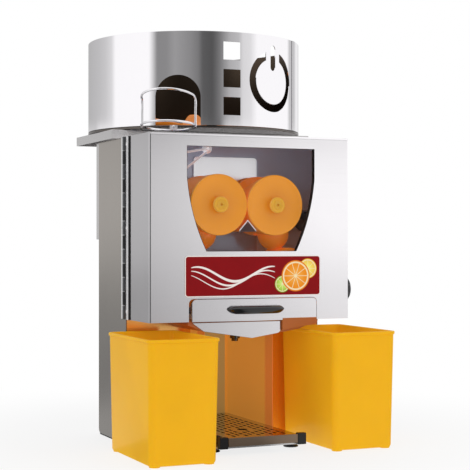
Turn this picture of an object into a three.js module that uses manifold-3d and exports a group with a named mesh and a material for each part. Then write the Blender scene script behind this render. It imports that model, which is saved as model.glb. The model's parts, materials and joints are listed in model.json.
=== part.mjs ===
// Automatic orange juicer for a counter, built as the separate pieces it comes apart into.
// Millimetres, +Z up, the front faces -Y. While the pieces are laid out y = 0 is the front face of
// the cover, x = 0 the middle of the body and z = 0 the counter. The last lines centre the whole.
import * as THREE from 'three';
import { mergeVertices } from 'three/addons/utils/BufferGeometryUtils.js';
import Module from 'manifold-3d';

const wasm = await Module();
wasm.setup();

// Driving dimensions: fits and sheet
const sheet = 1.5; // stainless sheet of casing, cover and hopper
const seat = 0.3; // gap between two pieces that touch
const over = 4; // how far a cutter runs past what it cuts
const runningGap = 0.5; // radial gap of a turning fit
const roundEndShare = 0.98; // corner radius of a round end, as a share of half its width
const roundSides = 48; // faces of the hopper's wall and floor

// Driving dimensions: body column
const bodyWidth = 376;
const bodyTop = 541.5;
const bodyLift = 3; // underside of the column above the counter
const columnDepth = 156;
const panelCorner = 10; // lower rear corner of the side panels
const rearBoxDepth = 20;
const rearBoxHeight = 180;
const alcoveWidth = 130;
const alcoveDepth = 144;
const alcoveTop = 221;
const cheekFront = 57; // front edges of the alcove's side walls

// Driving dimensions: front cover
const coverDepth = 119;
const coverHeight = 320;
const coverGap = 2; // between the cover's open edge and the column
const coverFold = 3; // outer radius of the folded corners
const windowTopHalf = 120.5;
const windowBottomHalf = 85;
const windowSill = 119.5; // window's lower edge above the cover's
const windowHeight = 179.5;
const windowShoulder = 54.5; // straight stretch below the window's top
const windowBelly = 114.6; // half width at which the curved sides are drawn in
const bellyHeightShare = 0.33; // height of that place above the sill, as a share of the window
const paneThickness = 3;
const paneLap = 8; // pane past the edge of the opening
const gasketWidth = 1.1;
const gasketProud = 0.5;
const labelWidth = 256;
const labelHeight = 70;
const labelRise = 42.2; // label's lower edge above the cover's
const labelOffset = 3.5; // label's middle right of the body's
const labelCorner = 6;
const labelThickness = 0.5;
const inletRadius = 45; // round fruit opening in the cover's top
const inletInset = 57.7; // its middle inside the column's left side
const inletY = 62;

// Driving dimensions: drawer, juice tray and its guard
const drawerWidth = 235;
const drawerOffset = 4; // drawer's middle right of the body's
const drawerTop = 257;
const drawerBottom = 221.5;
const drawerProud = 6;
const drawerCorner = 5;
const drawerSideGap = 3.5;
const drawerStep = 4; // the right part of the drawer's lower edge is cut up by this
const drawerStepX = 56;
const sieveHalf = 112;
const sieveDepth = 110;
const sieveHeight = 9.4;
const sieveWall = 1.2;
const sieveSlotLength = 78;
const sieveSlotWidth = 5;
const sieveSlots = 11;
const handleLength = 103;
const handleHeight = 14;
const handleReach = 17;
const handleRise = 12.5; // handle's underside above the drawer front's lower edge
const handleTaper = 17; // length of each rounded end
const handleEdge = 2.5;
const trayHalf = 118;
const trayTip = 191.5; // lowest edge of the V bottom
const trayKnee = 90; // half width where the V meets its steeper flanks
const trayKneeRise = 13.5;
const trayRimRise = 24.5; // foot of the upright walls above the tip
const trayTop = 225;
const trayWall = 2;
const trayFront = 2;
const lipReach = 124.5; // right end of the orange lip
const lipThickness = 5;
const lipLowRise = 12.5; // lip's lower edge above the tip
const guardLeft = 111;
const guardRight = 55;
const guardTop = 219.7;
const guardCorner = 8;
const spoutRadius = 6;
const spoutBore = 4.2;
const spoutCollar = 9;
const spoutCollarHeight = 5;
const spoutDrop = 10; // spout below the tray's tip
const spoutRise = 6;
const spoutY = 75;

// Driving dimensions: squeezing drums, two over two
const pitchRadius = 53.5; // half the distance between meshing shafts
const upperZ = 421.5;
const lowerOffset = 33.5; // lower shafts further out than the upper ones
const cupRadius = 36;
const ballRadius = 28;
const drumGap = 1; // between two drums
const drumFront = 26;
const drumRear = 104;
const hubBite = 1.5; // balls sunk in their hub by this
const hubInset = 5; // ball drum's hub shorter than the cup drum at each end
const ballSlot = 4; // width of the slots across a ball
const ballSlotDepth = 10;
const discGap = 0.6; // between the two discs
const discThickness = 4;
const discDish = 1.2; // rim of the disc stands this far in front of its middle
const discRim = 2.5;
const knobRadius = 13.8;
const knobLength = 13.5;
const knobEdge = 1.5;
const knobHole = 1.6;
const knobHoleDepth = 3;
const shaftRadius = 8;
const shaftHeadRadius = 14;
const shaftHeadLength = 5;
const shaftRear = 182;
const knobBite = 7; // length of shaft held in a knob

// Driving dimensions: gear train
const gearTeeth = 24;
const pinionTeeth = 8;
const gearFront = 140;
const gearWidth = 12;
const addendumShare = 0.8;
const dedendumShare = 1.15;
const tipHalfShare = 0.13; // half thickness of a tooth at its tip, as a share of the pitch
const rootHalfShare = 0.34;
const pinionDirection = 135; // degrees, from the left upper shaft to the motor's
const bearingRadius = 13;
const bearingPlateThickness = 5;
const bearingProud = 1.2; // sleeve in front of the chamber plate
const gearPlateY = 172;
const gearPlateThickness = 4;
const gearPlateGap = 21.2; // between the gear plate's ends and the side panels
const gearPlateBottom = 245;
const gearPlateTop = 515;
const pillarRadius = 6;
const pillarInset = 10;
const motorRadius = 38;
const motorLength = 80;
const motorNeckRadius = 20;
const motorNeckLength = 6;
const motorShaftRadius = 6;
const motorShaftBite = 12;

// Driving dimensions: chamber fittings
const backPlateHalf = 62;
const backPlateThickness = 3.5;
const backPlateTop = 510;
const backPlateBottom = 238;
const backPlateCorner = 6;
const knifeApex = 396;
const knifeDrop = 18;
const knifeHalf = 16;
const knifeThickness = 2;
const knifeFront = 18;
const ejectorTip = 108; // distance of the ejector's tip from the middle
const ejectorReach = 42;
const ejectorTop = 407;
const ejectorRise = 8;
const ejectorGap = 3.5; // between the ejector and the circle that the balls sweep
const ejectorFront = 50;
const chuteGap = 12; // between the chute and the cover's left side
const chuteTop = 530;
const chuteBend = 488;
const chuteEndX = 113;
const chuteEndZ = 430;
const chuteCorner = 40;
const chuteFront = 26;
const chuteFlange = 14;
const chuteInwardShares = [1.4, 0.4]; // how far the inner face lies in and up, in sheets
const wireRadius = 2;
const guideInset = 27; // guide's flange inside the chamber plate's left end
const guideLift = 14.5; // and above its top
const guideEndGap = 38; // between the wires' outer end and the chute's side
const guideFall = 18; // upper wire falls by this towards its outer end
const guideSpread = 41.5; // height between the two wires at their outer end
const guideFront = 45;
const guideShares = [0, 0.5, 0.9]; // points along each wire, from the flange outwards
const guideFlange = 9;
const guideFlangeThickness = 3;

// Driving dimensions: hopper
const hopperY = 272.6;
const hopperRadius = 200.2;
const hopperTop = 730;
const hopperRim = 563.5;
const hopperBaseHalf = 196.3;
const hopperBaseFront = 174.8;
const hopperBaseRear = 391.6;
const hopperBaseTop = 558.3;
const hopperFloorThickness = 4.6;
const archLead = 1.5; // degrees from the cage's direction to the arch's, positive to the right
const archWidth = 81;
const archTop = 652;
const slotAngle = -1.75; // degrees from straight ahead
const slotWidth = 32.5;
const slotBottoms = [581.9, 631.2, 680.1];
const slotHeight = 32;
const ringAngle = 24.1;
const ringZ = 647;
const ringOuter = 55;
const ringInner = 41;
const ringGapHalf = 18;
const barWidth = 13;
const barBottom = 666.6;
const barTop = 712.4;
const seamAngle = 45.6;
const seamWidth = 16;
const seamThickness = 1;
const cutDepthShare = 0.8; // cuts in the wall start at this share of its radius
const cageRadius = 47;
const cageTop = 606;
const cageCrown = 14; // the hoop rises by this towards its front
const cageBend = 9; // height of the bends between posts and hoop
const cageRingZ = 558.5;
const cageRingTilt = 4.5;
const cageFoot = 14; // width of the foot on the hopper's floor

// Driving dimensions: feeder in the hopper
const rotorRadius = 182;
const rotorLift = 3;
const rotorHub = 42;
const rotorConeTop = 14;
const rotorHeight = 34;
const rotorPlate = 5;
const rotorFingers = 4;
const fingerWidth = 12;
const fingerHeight = 12;
const feederShaftRadius = 6;
const feederShaftWay = 9;
const feederMotorRadius = 19;
const feederMotorHeight = 92;
const feederShaftBite = 10;

// Driving dimensions: drip tray and feet
const dripHalf = 64.4;
const dripFront = -48;
const dripRearGap = 3; // behind the tray
const dripTop = 28.5;
const dripBottom = 13.9;
const dripWall = 1.2;
const grilleThickness = 1.2;
const grilleSlotLength = 17;
const grilleSlotWidth = 4.5;
const grilleColumns = 9;
const grilleRows = 6;
const grilleBorder = 12;
const grilleRowShares = [0.25, 0.75]; // slots of even and odd columns within a row
const grilleHoleRadius = 9;
const grilleHoleY = 42;
const baseHalf = 81;
const baseFront = -38;
const baseBottom = 9.8;
const riserHalf = 58;
const riserInset = 8;
const blockWidth = 15.4;
const blockTop = 30;
const blockCorner = 1.5;
const blockBottom = 10.5;
const frontFootX = 74;
const frontFootY = 0;
const frontFootRadius = 13.2;
const footTopShare = 0.8;
const armThickness = 3;
const armInset = 7; // arm behind the block's front
const stripWidth = 22;

// Driving dimensions: peel bins
const binX = 172;
const binWidth = 115;
const binLength = 200;
const binHeight = 203;
const binFlareX = 3; // each side leans out by this
const binFlareY = 4.5;
const binWall = 2.4;
const binCorner = 7;
const binRim = 2; // rolled rim stands out by this
const binRimHeight = 6;
const binFoot = 1.5;
const binFootSide = 20;
const binFootInset = 1; // pads inside the bin's outline
const leftBinY = -20;
const rightBinY = 14.2;

// Driving dimensions: hinge, knob, switch and inlet
const knuckleRadius = 3.2;
const hingePinRadius = 1.5;
const leafWidth = 18;
const leafThickness = 1.2;
const knuckles = 9;
const knuckleGap = 0.4;
const latchY = 55;
const latchZ = 272;
const latchRadius = 22;
const latchReach = 25;
const latchNeck = 9;
const latchStud = 5;
const latchLobes = 6;
const latchLobeRadius = 6;
const moduleX = 128;
const moduleLow = 36;
const moduleHigh = 106;
const moduleWidth = 32;
const moduleDepth = 20;
const moduleFlange = 2.5;
const switchZ = 88;
const rockerWidth = 15;
const rockerHeight = 22;
const rockerProud = 3.6;
const rockerTilt = 10; // degrees either side of level
const inletZ = 54;
const inletWidth = 25;
const inletHeight = 20;
const inletRecess = 14;
const inletPinRadius = 1.6;

// Worked out from these
const halfBody = bodyWidth / 2;
const columnFront = coverDepth + coverGap;
const columnRear = columnFront + columnDepth;
const columnInner = halfBody - sheet - seat;
const columnInFront = columnFront + sheet + seat;
const inletX = inletInset - halfBody;
const gearPlateHalf = columnInner - gearPlateGap;
const chuteOut = halfBody - chuteGap;
const drawerLeft = drawerOffset - drawerWidth / 2;
const drawerRight = drawerOffset + drawerWidth / 2;
const guideX = guideInset - backPlateHalf;
const guideZ = backPlateTop + guideLift;
const guideEndX = guideEndGap - chuteOut;
const columnInRear = columnRear - sheet - seat;
const coverBottom = bodyTop - coverHeight;
const windowBottom = coverBottom + windowSill;
const windowTop = windowBottom + windowHeight;
const gearModule = 2 * pitchRadius / gearTeeth;
const lowerX = pitchRadius + lowerOffset;
const lowerZ = upperZ - Math.sqrt((2 * pitchRadius) ** 2 - lowerOffset ** 2);
const ballY = (drumFront + drumRear) / 2;
const ballReach = pitchRadius + ballRadius;
const drumRadius = pitchRadius - drumGap / 2;
const hubRadius = pitchRadius - ballRadius + hubBite;
const discRadius = pitchRadius - discGap / 2;
const radians = Math.PI / 180;

// Materials
function finish(color, roughness, metalness) {
  return () => new THREE.MeshStandardMaterial({ color, roughness, metalness });
}
const brushedSteel = finish(0xc9c7c5, 0.38, 1);
const mirrorSteel = finish(0xdedddc, 0.12, 1);
const chrome = finish(0xe2e2e4, 0.08, 1);
const darkPlate = finish(0x4a4744, 0.4, 0.3);
const orangePlastic = finish(0xe28c2d, 0.35, 0);
const trayPlastic = finish(0xc86e28, 0.35, 0);
const yellowPlastic = finish(0xeab423, 0.38, 0);
const knobPlastic = finish(0xdcaa2d, 0.4, 0);
const blackGloss = finish(0x131316, 0.15, 0);
const blackRubber = finish(0x1a1a1a, 0.8, 0);
const clearPane = finish(0xb8bcc4, 0.05, 0);
const labelRed = finish(0x8e1018, 0.35, 0);
const gearSteel = finish(0x8f8f92, 0.35, 1);
const gearNylon = finish(0xe8e4d8, 0.5, 0);
const motorPaint = finish(0x3c4248, 0.5, 0.2);
const castPlate = finish(0xa4a6a8, 0.5, 0.9);
const blackPlastic = finish(0x1c1c1e, 0.5, 0);

// Outlines in a plane
function outline(corners, steps = 4) {
  // Corners are [a, b, radius], and those with a radius are rounded.
  const points = [];
  corners.forEach(([a, b, radius = 0], i) => {
    const here = new THREE.Vector2(a, b);
    if (!radius) {
      points.push(here);
      return;
    }
    const [beforeA, beforeB] = corners.at(i - 1);
    const [afterA, afterB] = corners[(i + 1) % corners.length];
    const back = new THREE.Vector2(beforeA, beforeB).sub(here).normalize();
    const ahead = new THREE.Vector2(afterA, afterB).sub(here).normalize();
    const half = Math.acos(back.dot(ahead)) / 2;
    const reach = radius / Math.tan(half);
    const centre = back.clone().add(ahead).normalize().multiplyScalar(radius / Math.sin(half)).add(here);
    const start = back.clone().multiplyScalar(reach).add(here).sub(centre).angle();
    const end = ahead.clone().multiplyScalar(reach).add(here).sub(centre).angle();
    const turn = Math.atan2(Math.sin(end - start), Math.cos(end - start));
    for (let k = 0; k <= steps; k += 1) {
      const angle = start + turn * k / steps;
      points.push(new THREE.Vector2(Math.cos(angle), Math.sin(angle)).multiplyScalar(radius).add(centre));
    }
  });
  return points;
}

function rectangle(left, low, right, high, radius = 0, steps = 4) {
  const corners = [[left, low], [right, low], [right, high], [left, high]];
  return outline(corners.map(([a, b]) => [a, b, radius]), steps);
}

function circle(radius, a = 0, b = 0, steps = 24) {
  const points = [];
  for (let k = 0; k < steps; k += 1) {
    const angle = (k + 0.5) / steps * 2 * Math.PI;
    points.push(new THREE.Vector2(a + radius * Math.cos(angle), b + radius * Math.sin(angle)));
  }
  return points;
}

function slotOutline(a, b, length, width, steps = 1) {
  // A slot with round ends, its length along b.
  const half = width / 2;
  const top = b + length / 2;
  const low = b - length / 2;
  return rectangle(a - half, low, a + half, top, half * roundEndShare, steps);
}

// Solids: a closed geometry becomes a body that can be joined and cut.
function solid(geometry) {
  const bare = geometry.clone();
  bare.deleteAttribute('normal');
  bare.deleteAttribute('uv');
  const merged = mergeVertices(bare);
  const triangles = [];
  for (let i = 0; i < merged.index.count; i += 3) {
    const [a, b, c] = [0, 1, 2].map((k) => merged.index.getX(i + k));
    if (a !== b && b !== c && c !== a) triangles.push(a, b, c);
  }
  const vertProperties = new Float32Array(merged.attributes.position.array);
  const triVerts = new Uint32Array(triangles);
  return new wasm.Manifold(new wasm.Mesh({ numProp: 3, vertProperties, triVerts }));
}

function union(parts) {
  return parts.reduce((all, part) => all.add(part));
}

function extruded(points, depth) {
  const shape = new THREE.Shape(points.map((p) => (Array.isArray(p) ? new THREE.Vector2(...p) : p)));
  return new THREE.ExtrudeGeometry(shape, { depth, bevelEnabled: false });
}

function alongZ(points, low, high) {
  return solid(extruded(points, high - low).translate(0, 0, low));
}

function alongY(points, front, back) {
  // The outline's second axis stands up along Z.
  return solid(extruded(points, back - front).rotateX(Math.PI / 2).translate(0, back, 0));
}

function alongX(points, left, right) {
  // The outline's axes are Y and Z.
  const turn = new THREE.Matrix4().makeBasis(
    new THREE.Vector3(0, 1, 0),
    new THREE.Vector3(0, 0, 1),
    new THREE.Vector3(1, 0, 0),
  );
  return solid(extruded(points, right - left).applyMatrix4(turn).translate(left, 0, 0));
}

function box(x, y, z) {
  // Each argument is a pair, low and high.
  const [size, middle] = [[], []];
  for (const [low, high] of [x, y, z]) {
    size.push(high - low);
    middle.push((high + low) / 2);
  }
  return solid(new THREE.BoxGeometry(...size).translate(...middle));
}

function turned(profile, steps = 20) {
  // The profile runs upwards round its outside, as [radius, height], and the body turns about Z.
  const points = profile.map(([radius, height]) => new THREE.Vector2(radius, height));
  return new THREE.LatheGeometry(points, steps).rotateX(Math.PI / 2);
}

function turnedZ(profile, x = 0, y = 0, steps = 20) {
  return solid(turned(profile, steps).translate(x, y, 0));
}

function turnedY(profile, x = 0, z = 0, steps = 20) {
  // Heights along the profile become places along Y, from the front to the back.
  return solid(turned(profile, steps).rotateX(-Math.PI / 2).translate(x, 0, z));
}

function turnedX(profile, y = 0, z = 0, steps = 20) {
  return solid(turned(profile, steps).rotateY(Math.PI / 2).translate(0, y, z));
}

function rod(radius, low, high) {
  return [[0, low], [radius, low], [radius, high], [0, high]];
}

function sleeve(inner, outer, low, high) {
  return [[inner, low], [outer, low], [outer, high], [inner, high], [inner, low]];
}

function wire(curve, radius, steps, sides = 8) {
  const section = new THREE.Shape(circle(radius, 0, 0, sides));
  return solid(new THREE.ExtrudeGeometry(section, { steps, extrudePath: curve }));
}

function lofted(rings) {
  // Rings of equally many points, joined in order, with both ends closed flat.
  const count = rings[0].length;
  const position = rings.flat().flatMap((p) => [p.x, p.y, p.z]);
  const index = [];
  for (let r = 0; r + 1 < rings.length; r += 1) {
    for (let k = 0; k < count; k += 1) {
      const next = (k + 1) % count;
      const [a, b, c, d] = [r * count + k, r * count + next, (r + 1) * count + next, (r + 1) * count + k];
      index.push(a, b, c, a, c, d);
    }
  }
  const last = (rings.length - 1) * count;
  for (let k = 1; k + 1 < count; k += 1) {
    index.push(0, k + 1, k, last, last + k, last + k + 1);
  }
  const geometry = new THREE.BufferGeometry();
  geometry.setAttribute('position', new THREE.BufferAttribute(new Float32Array(position), 3));
  geometry.setIndex(index);
  return solid(geometry);
}

function ringAt(points, z) {
  return points.map((p) => new THREE.Vector3(p.x, p.y, z));
}

function piece(name, body, material) {
  const found = body.getMesh();
  const geometry = new THREE.BufferGeometry();
  geometry.setAttribute('position', new THREE.BufferAttribute(new Float32Array(found.vertProperties), 3));
  geometry.setIndex(new THREE.BufferAttribute(new Uint32Array(found.triVerts), 1));
  geometry.computeVertexNormals();
  const mesh = new THREE.Mesh(geometry, material());
  mesh.name = name;
  return mesh;
}

function group(parts, x = 0, y = 0, z = 0) {
  const made = new THREE.Group();
  made.position.set(x, y, z);
  made.add(...parts);
  return made;
}

// Where the four shafts stand
const shafts = {
  upper_left: { x: -pitchRadius, z: upperZ, upper: true },
  upper_right: { x: pitchRadius, z: upperZ, upper: true },
  lower_left: { x: -lowerX, z: lowerZ, upper: false },
  lower_right: { x: lowerX, z: lowerZ, upper: false },
};
const shaftList = Object.values(shafts);
const motorReach = gearModule * (gearTeeth + pinionTeeth) / 2;
const motorX = -pitchRadius + motorReach * Math.cos(pinionDirection * radians);
const motorZ = upperZ + motorReach * Math.sin(pinionDirection * radians);

// Body column
function sidePanel(side) {
  const shape = outline([
    [columnFront, bodyLift],
    [columnRear, bodyLift, panelCorner],
    [columnRear, bodyTop],
    [columnFront, bodyTop],
  ], 6);
  const faces = [side * halfBody, side * (halfBody - sheet)].sort((a, b) => a - b);
  return alongX(shape, ...faces);
}

function frontPlate() {
  const face = rectangle(-columnInner, bodyLift, columnInner, bodyTop);
  const plate = alongY(face, columnFront, columnFront + sheet);
  const half = alcoveWidth / 2 + sheet + seat;
  const opening = box(
    [-half, half],
    [columnFront - over, columnFront + over],
    [bodyLift - over, alcoveTop],
  );
  const holes = shaftList.map(({ x, z }) => turnedY(
    rod(bearingRadius + seat, columnFront - over, columnFront + over), x, z, 12));
  return plate.subtract(union([opening, ...holes]));
}

const feederWay = (low, high) => turnedZ(rod(feederShaftWay, low, high), 0, hopperY);
const motorWayHalf = feederMotorRadius + over;

function rearCover() {
  const face = rectangle(-columnInner, bodyLift, columnInner, bodyTop);
  const plate = alongY(face, columnRear - sheet, columnRear);
  const through = [columnRear - sheet - over, columnRear + over];
  const wayLow = bodyTop - rearBoxHeight + sheet + over;
  const motorWay = box([-motorWayHalf, motorWayHalf], through, [wayLow, bodyTop + over]);
  const moduleHalf = moduleWidth / 2 + seat;
  const across = [moduleX - moduleHalf, moduleX + moduleHalf];
  const moduleWay = box(across, through, [moduleLow - seat, moduleHigh + seat]);
  return plate.subtract(union([motorWay, moduleWay]));
}

function topPlate() {
  const face = rectangle(-columnInner, columnInFront, columnInner, columnInRear);
  const plate = alongZ(face, bodyTop - sheet, bodyTop);
  return plate.subtract(feederWay(bodyTop - over, bodyTop + over));
}

function basePlate() {
  const face = rectangle(-columnInner, columnInFront, columnInner, columnInRear);
  return alongZ(face, bodyLift, bodyLift + sheet);
}

function alcoveLiner() {
  const half = alcoveWidth / 2;
  const floor = bodyLift + sheet + seat;
  const back = columnFront + alcoveDepth;
  const across = [-half - sheet, half + sheet];
  const outer = box(across, [columnInFront, back + sheet], [floor, alcoveTop + sheet]);
  // In front of the column its sides stand on the tray's base and end under the juice tray.
  const cheekTop = trayTip + trayKneeRise * half / trayKnee - seat * 2;
  const cheeks = box(across, [cheekFront, columnInFront + sheet], [dripBottom, cheekTop]);
  return outer.add(cheeks).subtract(box([-half, half], [cheekFront - over, back], [floor - over, alcoveTop]));
}

function rearBox() {
  const low = bodyTop - rearBoxHeight;
  const front = columnRear + seat;
  const outer = box([-columnInner, columnInner], [front, columnRear + rearBoxDepth], [low, bodyTop]);
  const hollow = box(
    [-columnInner + sheet, columnInner - sheet],
    [front - over, columnRear + rearBoxDepth - sheet],
    [low + sheet, bodyTop - sheet],
  );
  return outer.subtract(hollow).subtract(feederWay(bodyTop - over, bodyTop + over));
}

function baseStrip() {
  // One rubber strip round three sides of the column's underside.
  const height = bodyLift - seat;
  const outer = box([-columnInner, columnInner], [columnInFront, columnInRear], [0, height]);
  const hollow = box([-columnInner + stripWidth, columnInner - stripWidth],
    [columnInFront - over, columnInRear - stripWidth], [-over, height + over]);
  return outer.subtract(hollow);
}

function powerModule() {
  // Mains inlet and switch in one moulding, clipped into the rear cover.
  const half = moduleWidth / 2;
  const back = columnRear + moduleFlange;
  const flange = alongY(rectangle(moduleX - half - moduleFlange, moduleLow - moduleFlange,
    moduleX + half + moduleFlange, moduleHigh + moduleFlange, blockCorner), columnRear + seat, back);
  const shell = alongY(rectangle(moduleX - half, moduleLow, moduleX + half, moduleHigh, blockCorner),
    columnRear - moduleDepth, columnRear + seat + seat);
  const [rw, rh] = [rockerWidth / 2 + seat + seat, rockerHeight / 2 + seat + seat];
  const deep = [back - inletRecess, back + over];
  const well = box([moduleX - rw, moduleX + rw], deep, [switchZ - rh, switchZ + rh]);
  const [w, h] = [inletWidth / 2, inletHeight / 2];
  const recess = alongY(rectangle(moduleX - w, inletZ - h, moduleX + w, inletZ + h, blockCorner), ...deep);
  const pins = [-1, 0, 1].map((k) => turnedY(
    rod(inletPinRadius, back - inletRecess - seat, back - moduleFlange),
    moduleX + k * w / 2, inletZ + (k ? -h : h) / 4, 6));
  return union([flange.add(shell).subtract(union([well, recess])), ...pins]);
}

function rocker() {
  // A shallow V of two faces, drawn in Y and Z about its pivot and at rest tipped to one side.
  const h = rockerHeight / 2;
  const depth = inletRecess / 2;
  const shape = [[-depth, 0], [0, -h], [rockerProud, -h], [rockerProud / 3, 0], [rockerProud, h], [0, h]];
  const w = rockerWidth / 2;
  return alongX(shape, -w, w);
}

// Front cover, a folded shell that is open behind and below
function windowOutline(grow) {
  // Straight at the top, then drawn in by curved sides to a narrower sill.
  const shoulder = windowTop - windowShoulder;
  const side = new THREE.QuadraticBezierCurve(
    new THREE.Vector2(windowTopHalf + grow, shoulder),
    new THREE.Vector2(windowBelly + grow, windowBottom + windowHeight * bellyHeightShare),
    new THREE.Vector2(windowBottomHalf + grow, windowBottom - grow),
  ).getPoints(8);
  const right = [new THREE.Vector2(windowTopHalf + grow, windowTop + grow), ...side];
  const left = right.map((p) => new THREE.Vector2(-p.x, p.y)).reverse();
  return [...left, ...right];
}

function coverShell() {
  const planOuter = outline([[-halfBody, coverDepth], [-halfBody, 0, coverFold], [halfBody, 0, coverFold],
    [halfBody, coverDepth]]);
  const inner = coverFold - sheet;
  const planInner = outline([[-halfBody + sheet, coverDepth + over], [-halfBody + sheet, sheet, inner],
    [halfBody - sheet, sheet, inner], [halfBody - sheet, coverDepth + over]]);
  const shell = alongZ(planOuter, coverBottom, bodyTop).subtract(
    alongZ(planInner, coverBottom - over, bodyTop - sheet));
  const [notchLeft, notchRight] = [drawerLeft - drawerSideGap, drawerRight + drawerSideGap];
  const notch = alongY(outline([
    [notchLeft, coverBottom - over],
    [notchRight, coverBottom - over],
    [notchRight, drawerTop + drawerSideGap, drawerCorner + drawerSideGap],
    [notchLeft, drawerTop + drawerSideGap, drawerCorner + drawerSideGap],
  ]), -over, sheet + over);
  const opening = alongY(windowOutline(0), -over, sheet + over);
  const inlet = turnedZ(rod(inletRadius, bodyTop - over, bodyTop + over), inletX, inletY, 24);
  const stud = turnedX(rod(latchStud + runningGap, halfBody - over, halfBody + over), latchY, latchZ, 12);
  return shell.subtract(union([notch, opening, inlet, stud]));
}

function windowPane() {
  return alongY(windowOutline(paneLap), sheet + seat, sheet + seat + paneThickness);
}

function windowGasket() {
  return alongY(windowOutline(-seat), -gasketProud, sheet).subtract(
    alongY(windowOutline(-gasketWidth), -gasketProud - over, sheet + over));
}

function frontLabel() {
  const low = coverBottom + labelRise;
  const left = labelOffset - labelWidth / 2;
  return alongY(rectangle(left, low, left + labelWidth, low + labelHeight, labelCorner),
    -labelThickness - seat, -seat);
}

function latchKnob() {
  const start = halfBody + seat;
  const knob = turnedX([[0, start], [latchNeck, start], [latchNeck, start + latchNeck / 2],
    [latchRadius, start + latchNeck], [latchRadius, start + latchReach - latchLobeRadius / 2],
    [latchRadius - latchLobeRadius / 2, start + latchReach], [0, start + latchReach]], latchY, latchZ, 18);
  const grips = [];
  for (let k = 0; k < latchLobes; k += 1) {
    const angle = (k + 0.5) / latchLobes * 2 * Math.PI;
    const out = latchRadius + latchLobeRadius / 2;
    grips.push(turnedX(rod(latchLobeRadius, start + latchNeck / 2, start + latchReach + over),
      latchY + out * Math.cos(angle), latchZ + out * Math.sin(angle), 8));
  }
  const stud = turnedX(rod(latchStud, halfBody - sheet - latchNeck, start + latchNeck), latchY, latchZ, 12);
  const nutEnd = halfBody - sheet - seat;
  const nut = turnedX(rod(latchNeck, nutEnd - latchNeck / 2, nutEnd), latchY, latchZ, 6);
  return union([knob.subtract(union(grips)), stud, nut]);
}

// Piano hinge on the left, its pin fixed in the column's leaf
const hingeX = -halfBody - seat - knuckleRadius;
const hingeY = coverDepth + coverGap / 2;
const knucklePitch = coverHeight / knuckles;

function hingeLeaf(moving) {
  const out = -halfBody - seat;
  const toward = moving ? -1 : 1;
  const near = hingeY + toward * (knuckleRadius + knuckleGap);
  const far = hingeY + toward * (leafWidth + knuckleRadius);
  const thick = [out - leafThickness, out];
  const leaf = box(thick, [Math.min(near, far), Math.max(near, far)], [coverBottom, bodyTop]);
  const knuckleSet = [];
  for (let k = moving ? 1 : 0; k < knuckles; k += 2) {
    const low = coverBottom + k * knucklePitch + knuckleGap / 2;
    const high = low + knucklePitch - knuckleGap;
    knuckleSet.push(turnedZ(rod(knuckleRadius, low, high), hingeX, hingeY, 8));
    knuckleSet.push(box(thick, [Math.min(hingeY, far), Math.max(hingeY, far)], [low, high]));
  }
  const made = union([leaf, ...knuckleSet]);
  if (moving) {
    const bore = hingePinRadius + runningGap;
    return made.subtract(turnedZ(rod(bore, coverBottom - over, bodyTop + over), hingeX, hingeY, 8));
  }
  return made.add(turnedZ(rod(hingePinRadius, coverBottom, bodyTop), hingeX, hingeY, 8));
}

// Pulp drawer
function drawerFront() {
  const shape = outline([
    [drawerLeft, drawerBottom],
    [drawerStepX, drawerBottom],
    [drawerStepX, drawerBottom + drawerStep],
    [drawerRight, drawerBottom + drawerStep],
    [drawerRight, drawerTop, drawerCorner],
    [drawerLeft, drawerTop, drawerCorner],
  ]);
  const plate = alongY(shape, -drawerProud, sheet);
  const inner = [drawerLeft + sheet, drawerRight - sheet];
  const deep = [-drawerProud + sheet, sheet + over];
  const hollow = box(inner, deep, [drawerBottom + drawerStep + sheet, drawerTop - drawerCorner]);
  const lowHollow = box([drawerLeft + sheet, drawerStepX - sheet - drawerStep], deep,
    [drawerBottom + sheet, drawerTop - drawerCorner]);
  return plate.subtract(hollow).subtract(lowHollow);
}

function drawerHandle() {
  const half = handleLength / 2;
  const [back, reach] = [-drawerProud - seat, -drawerProud - seat - handleReach];
  const side = new THREE.QuadraticBezierCurve(
    new THREE.Vector2(half, back),
    new THREE.Vector2(half - handleTaper / 4, reach),
    new THREE.Vector2(half - handleTaper, reach),
  ).getPoints(5);
  const plan = [...side.map((p) => new THREE.Vector2(-p.x, p.y)).reverse(), ...side].reverse();
  const low = drawerBottom + handleRise;
  const grip = solid(new THREE.ExtrudeGeometry(new THREE.Shape(plan), {
    depth: handleHeight - 2 * handleEdge,
    bevelSize: handleEdge,
    bevelOffset: -handleEdge,
    bevelThickness: handleEdge,
    bevelSegments: 2,
  }).translate(drawerOffset, 0, low + handleEdge));
  const pocketHalf = half - handleTaper;
  const wall = handleEdge * 2;
  const [pocketLeft, pocketRight] = [drawerOffset - pocketHalf, drawerOffset + pocketHalf];
  const pocketPlan = rectangle(pocketLeft, reach + wall, pocketRight, back - wall, handleEdge);
  const pocket = alongZ(pocketPlan, low - over, low + handleHeight - wall);
  return grip.subtract(pocket);
}

const sieveBottom = trayTop + seat + seat;
const sieveFront = sheet + seat;

function pulpSieve() {
  const height = [sieveBottom, sieveBottom + sieveHeight];
  const outer = box([-sieveHalf, sieveHalf], [sieveFront, sieveFront + sieveDepth], height);
  const hollow = box([-sieveHalf + sieveWall, sieveHalf - sieveWall],
    [sieveFront + sieveWall, sieveFront + sieveDepth - sieveWall],
    [sieveBottom + sieveWall, sieveBottom + sieveHeight + over]);
  const slots = [];
  const pitch = 2 * (sieveHalf - sieveSlotWidth) / sieveSlots;
  for (let k = 0; k < sieveSlots; k += 1) {
    const x = (k - (sieveSlots - 1) / 2) * pitch;
    slots.push(alongZ(slotOutline(x, sieveFront + sieveDepth / 2, sieveSlotLength, sieveSlotWidth),
      sieveBottom - over, sieveBottom + sieveHeight));
  }
  return outer.subtract(union([hollow, ...slots]));
}

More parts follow.
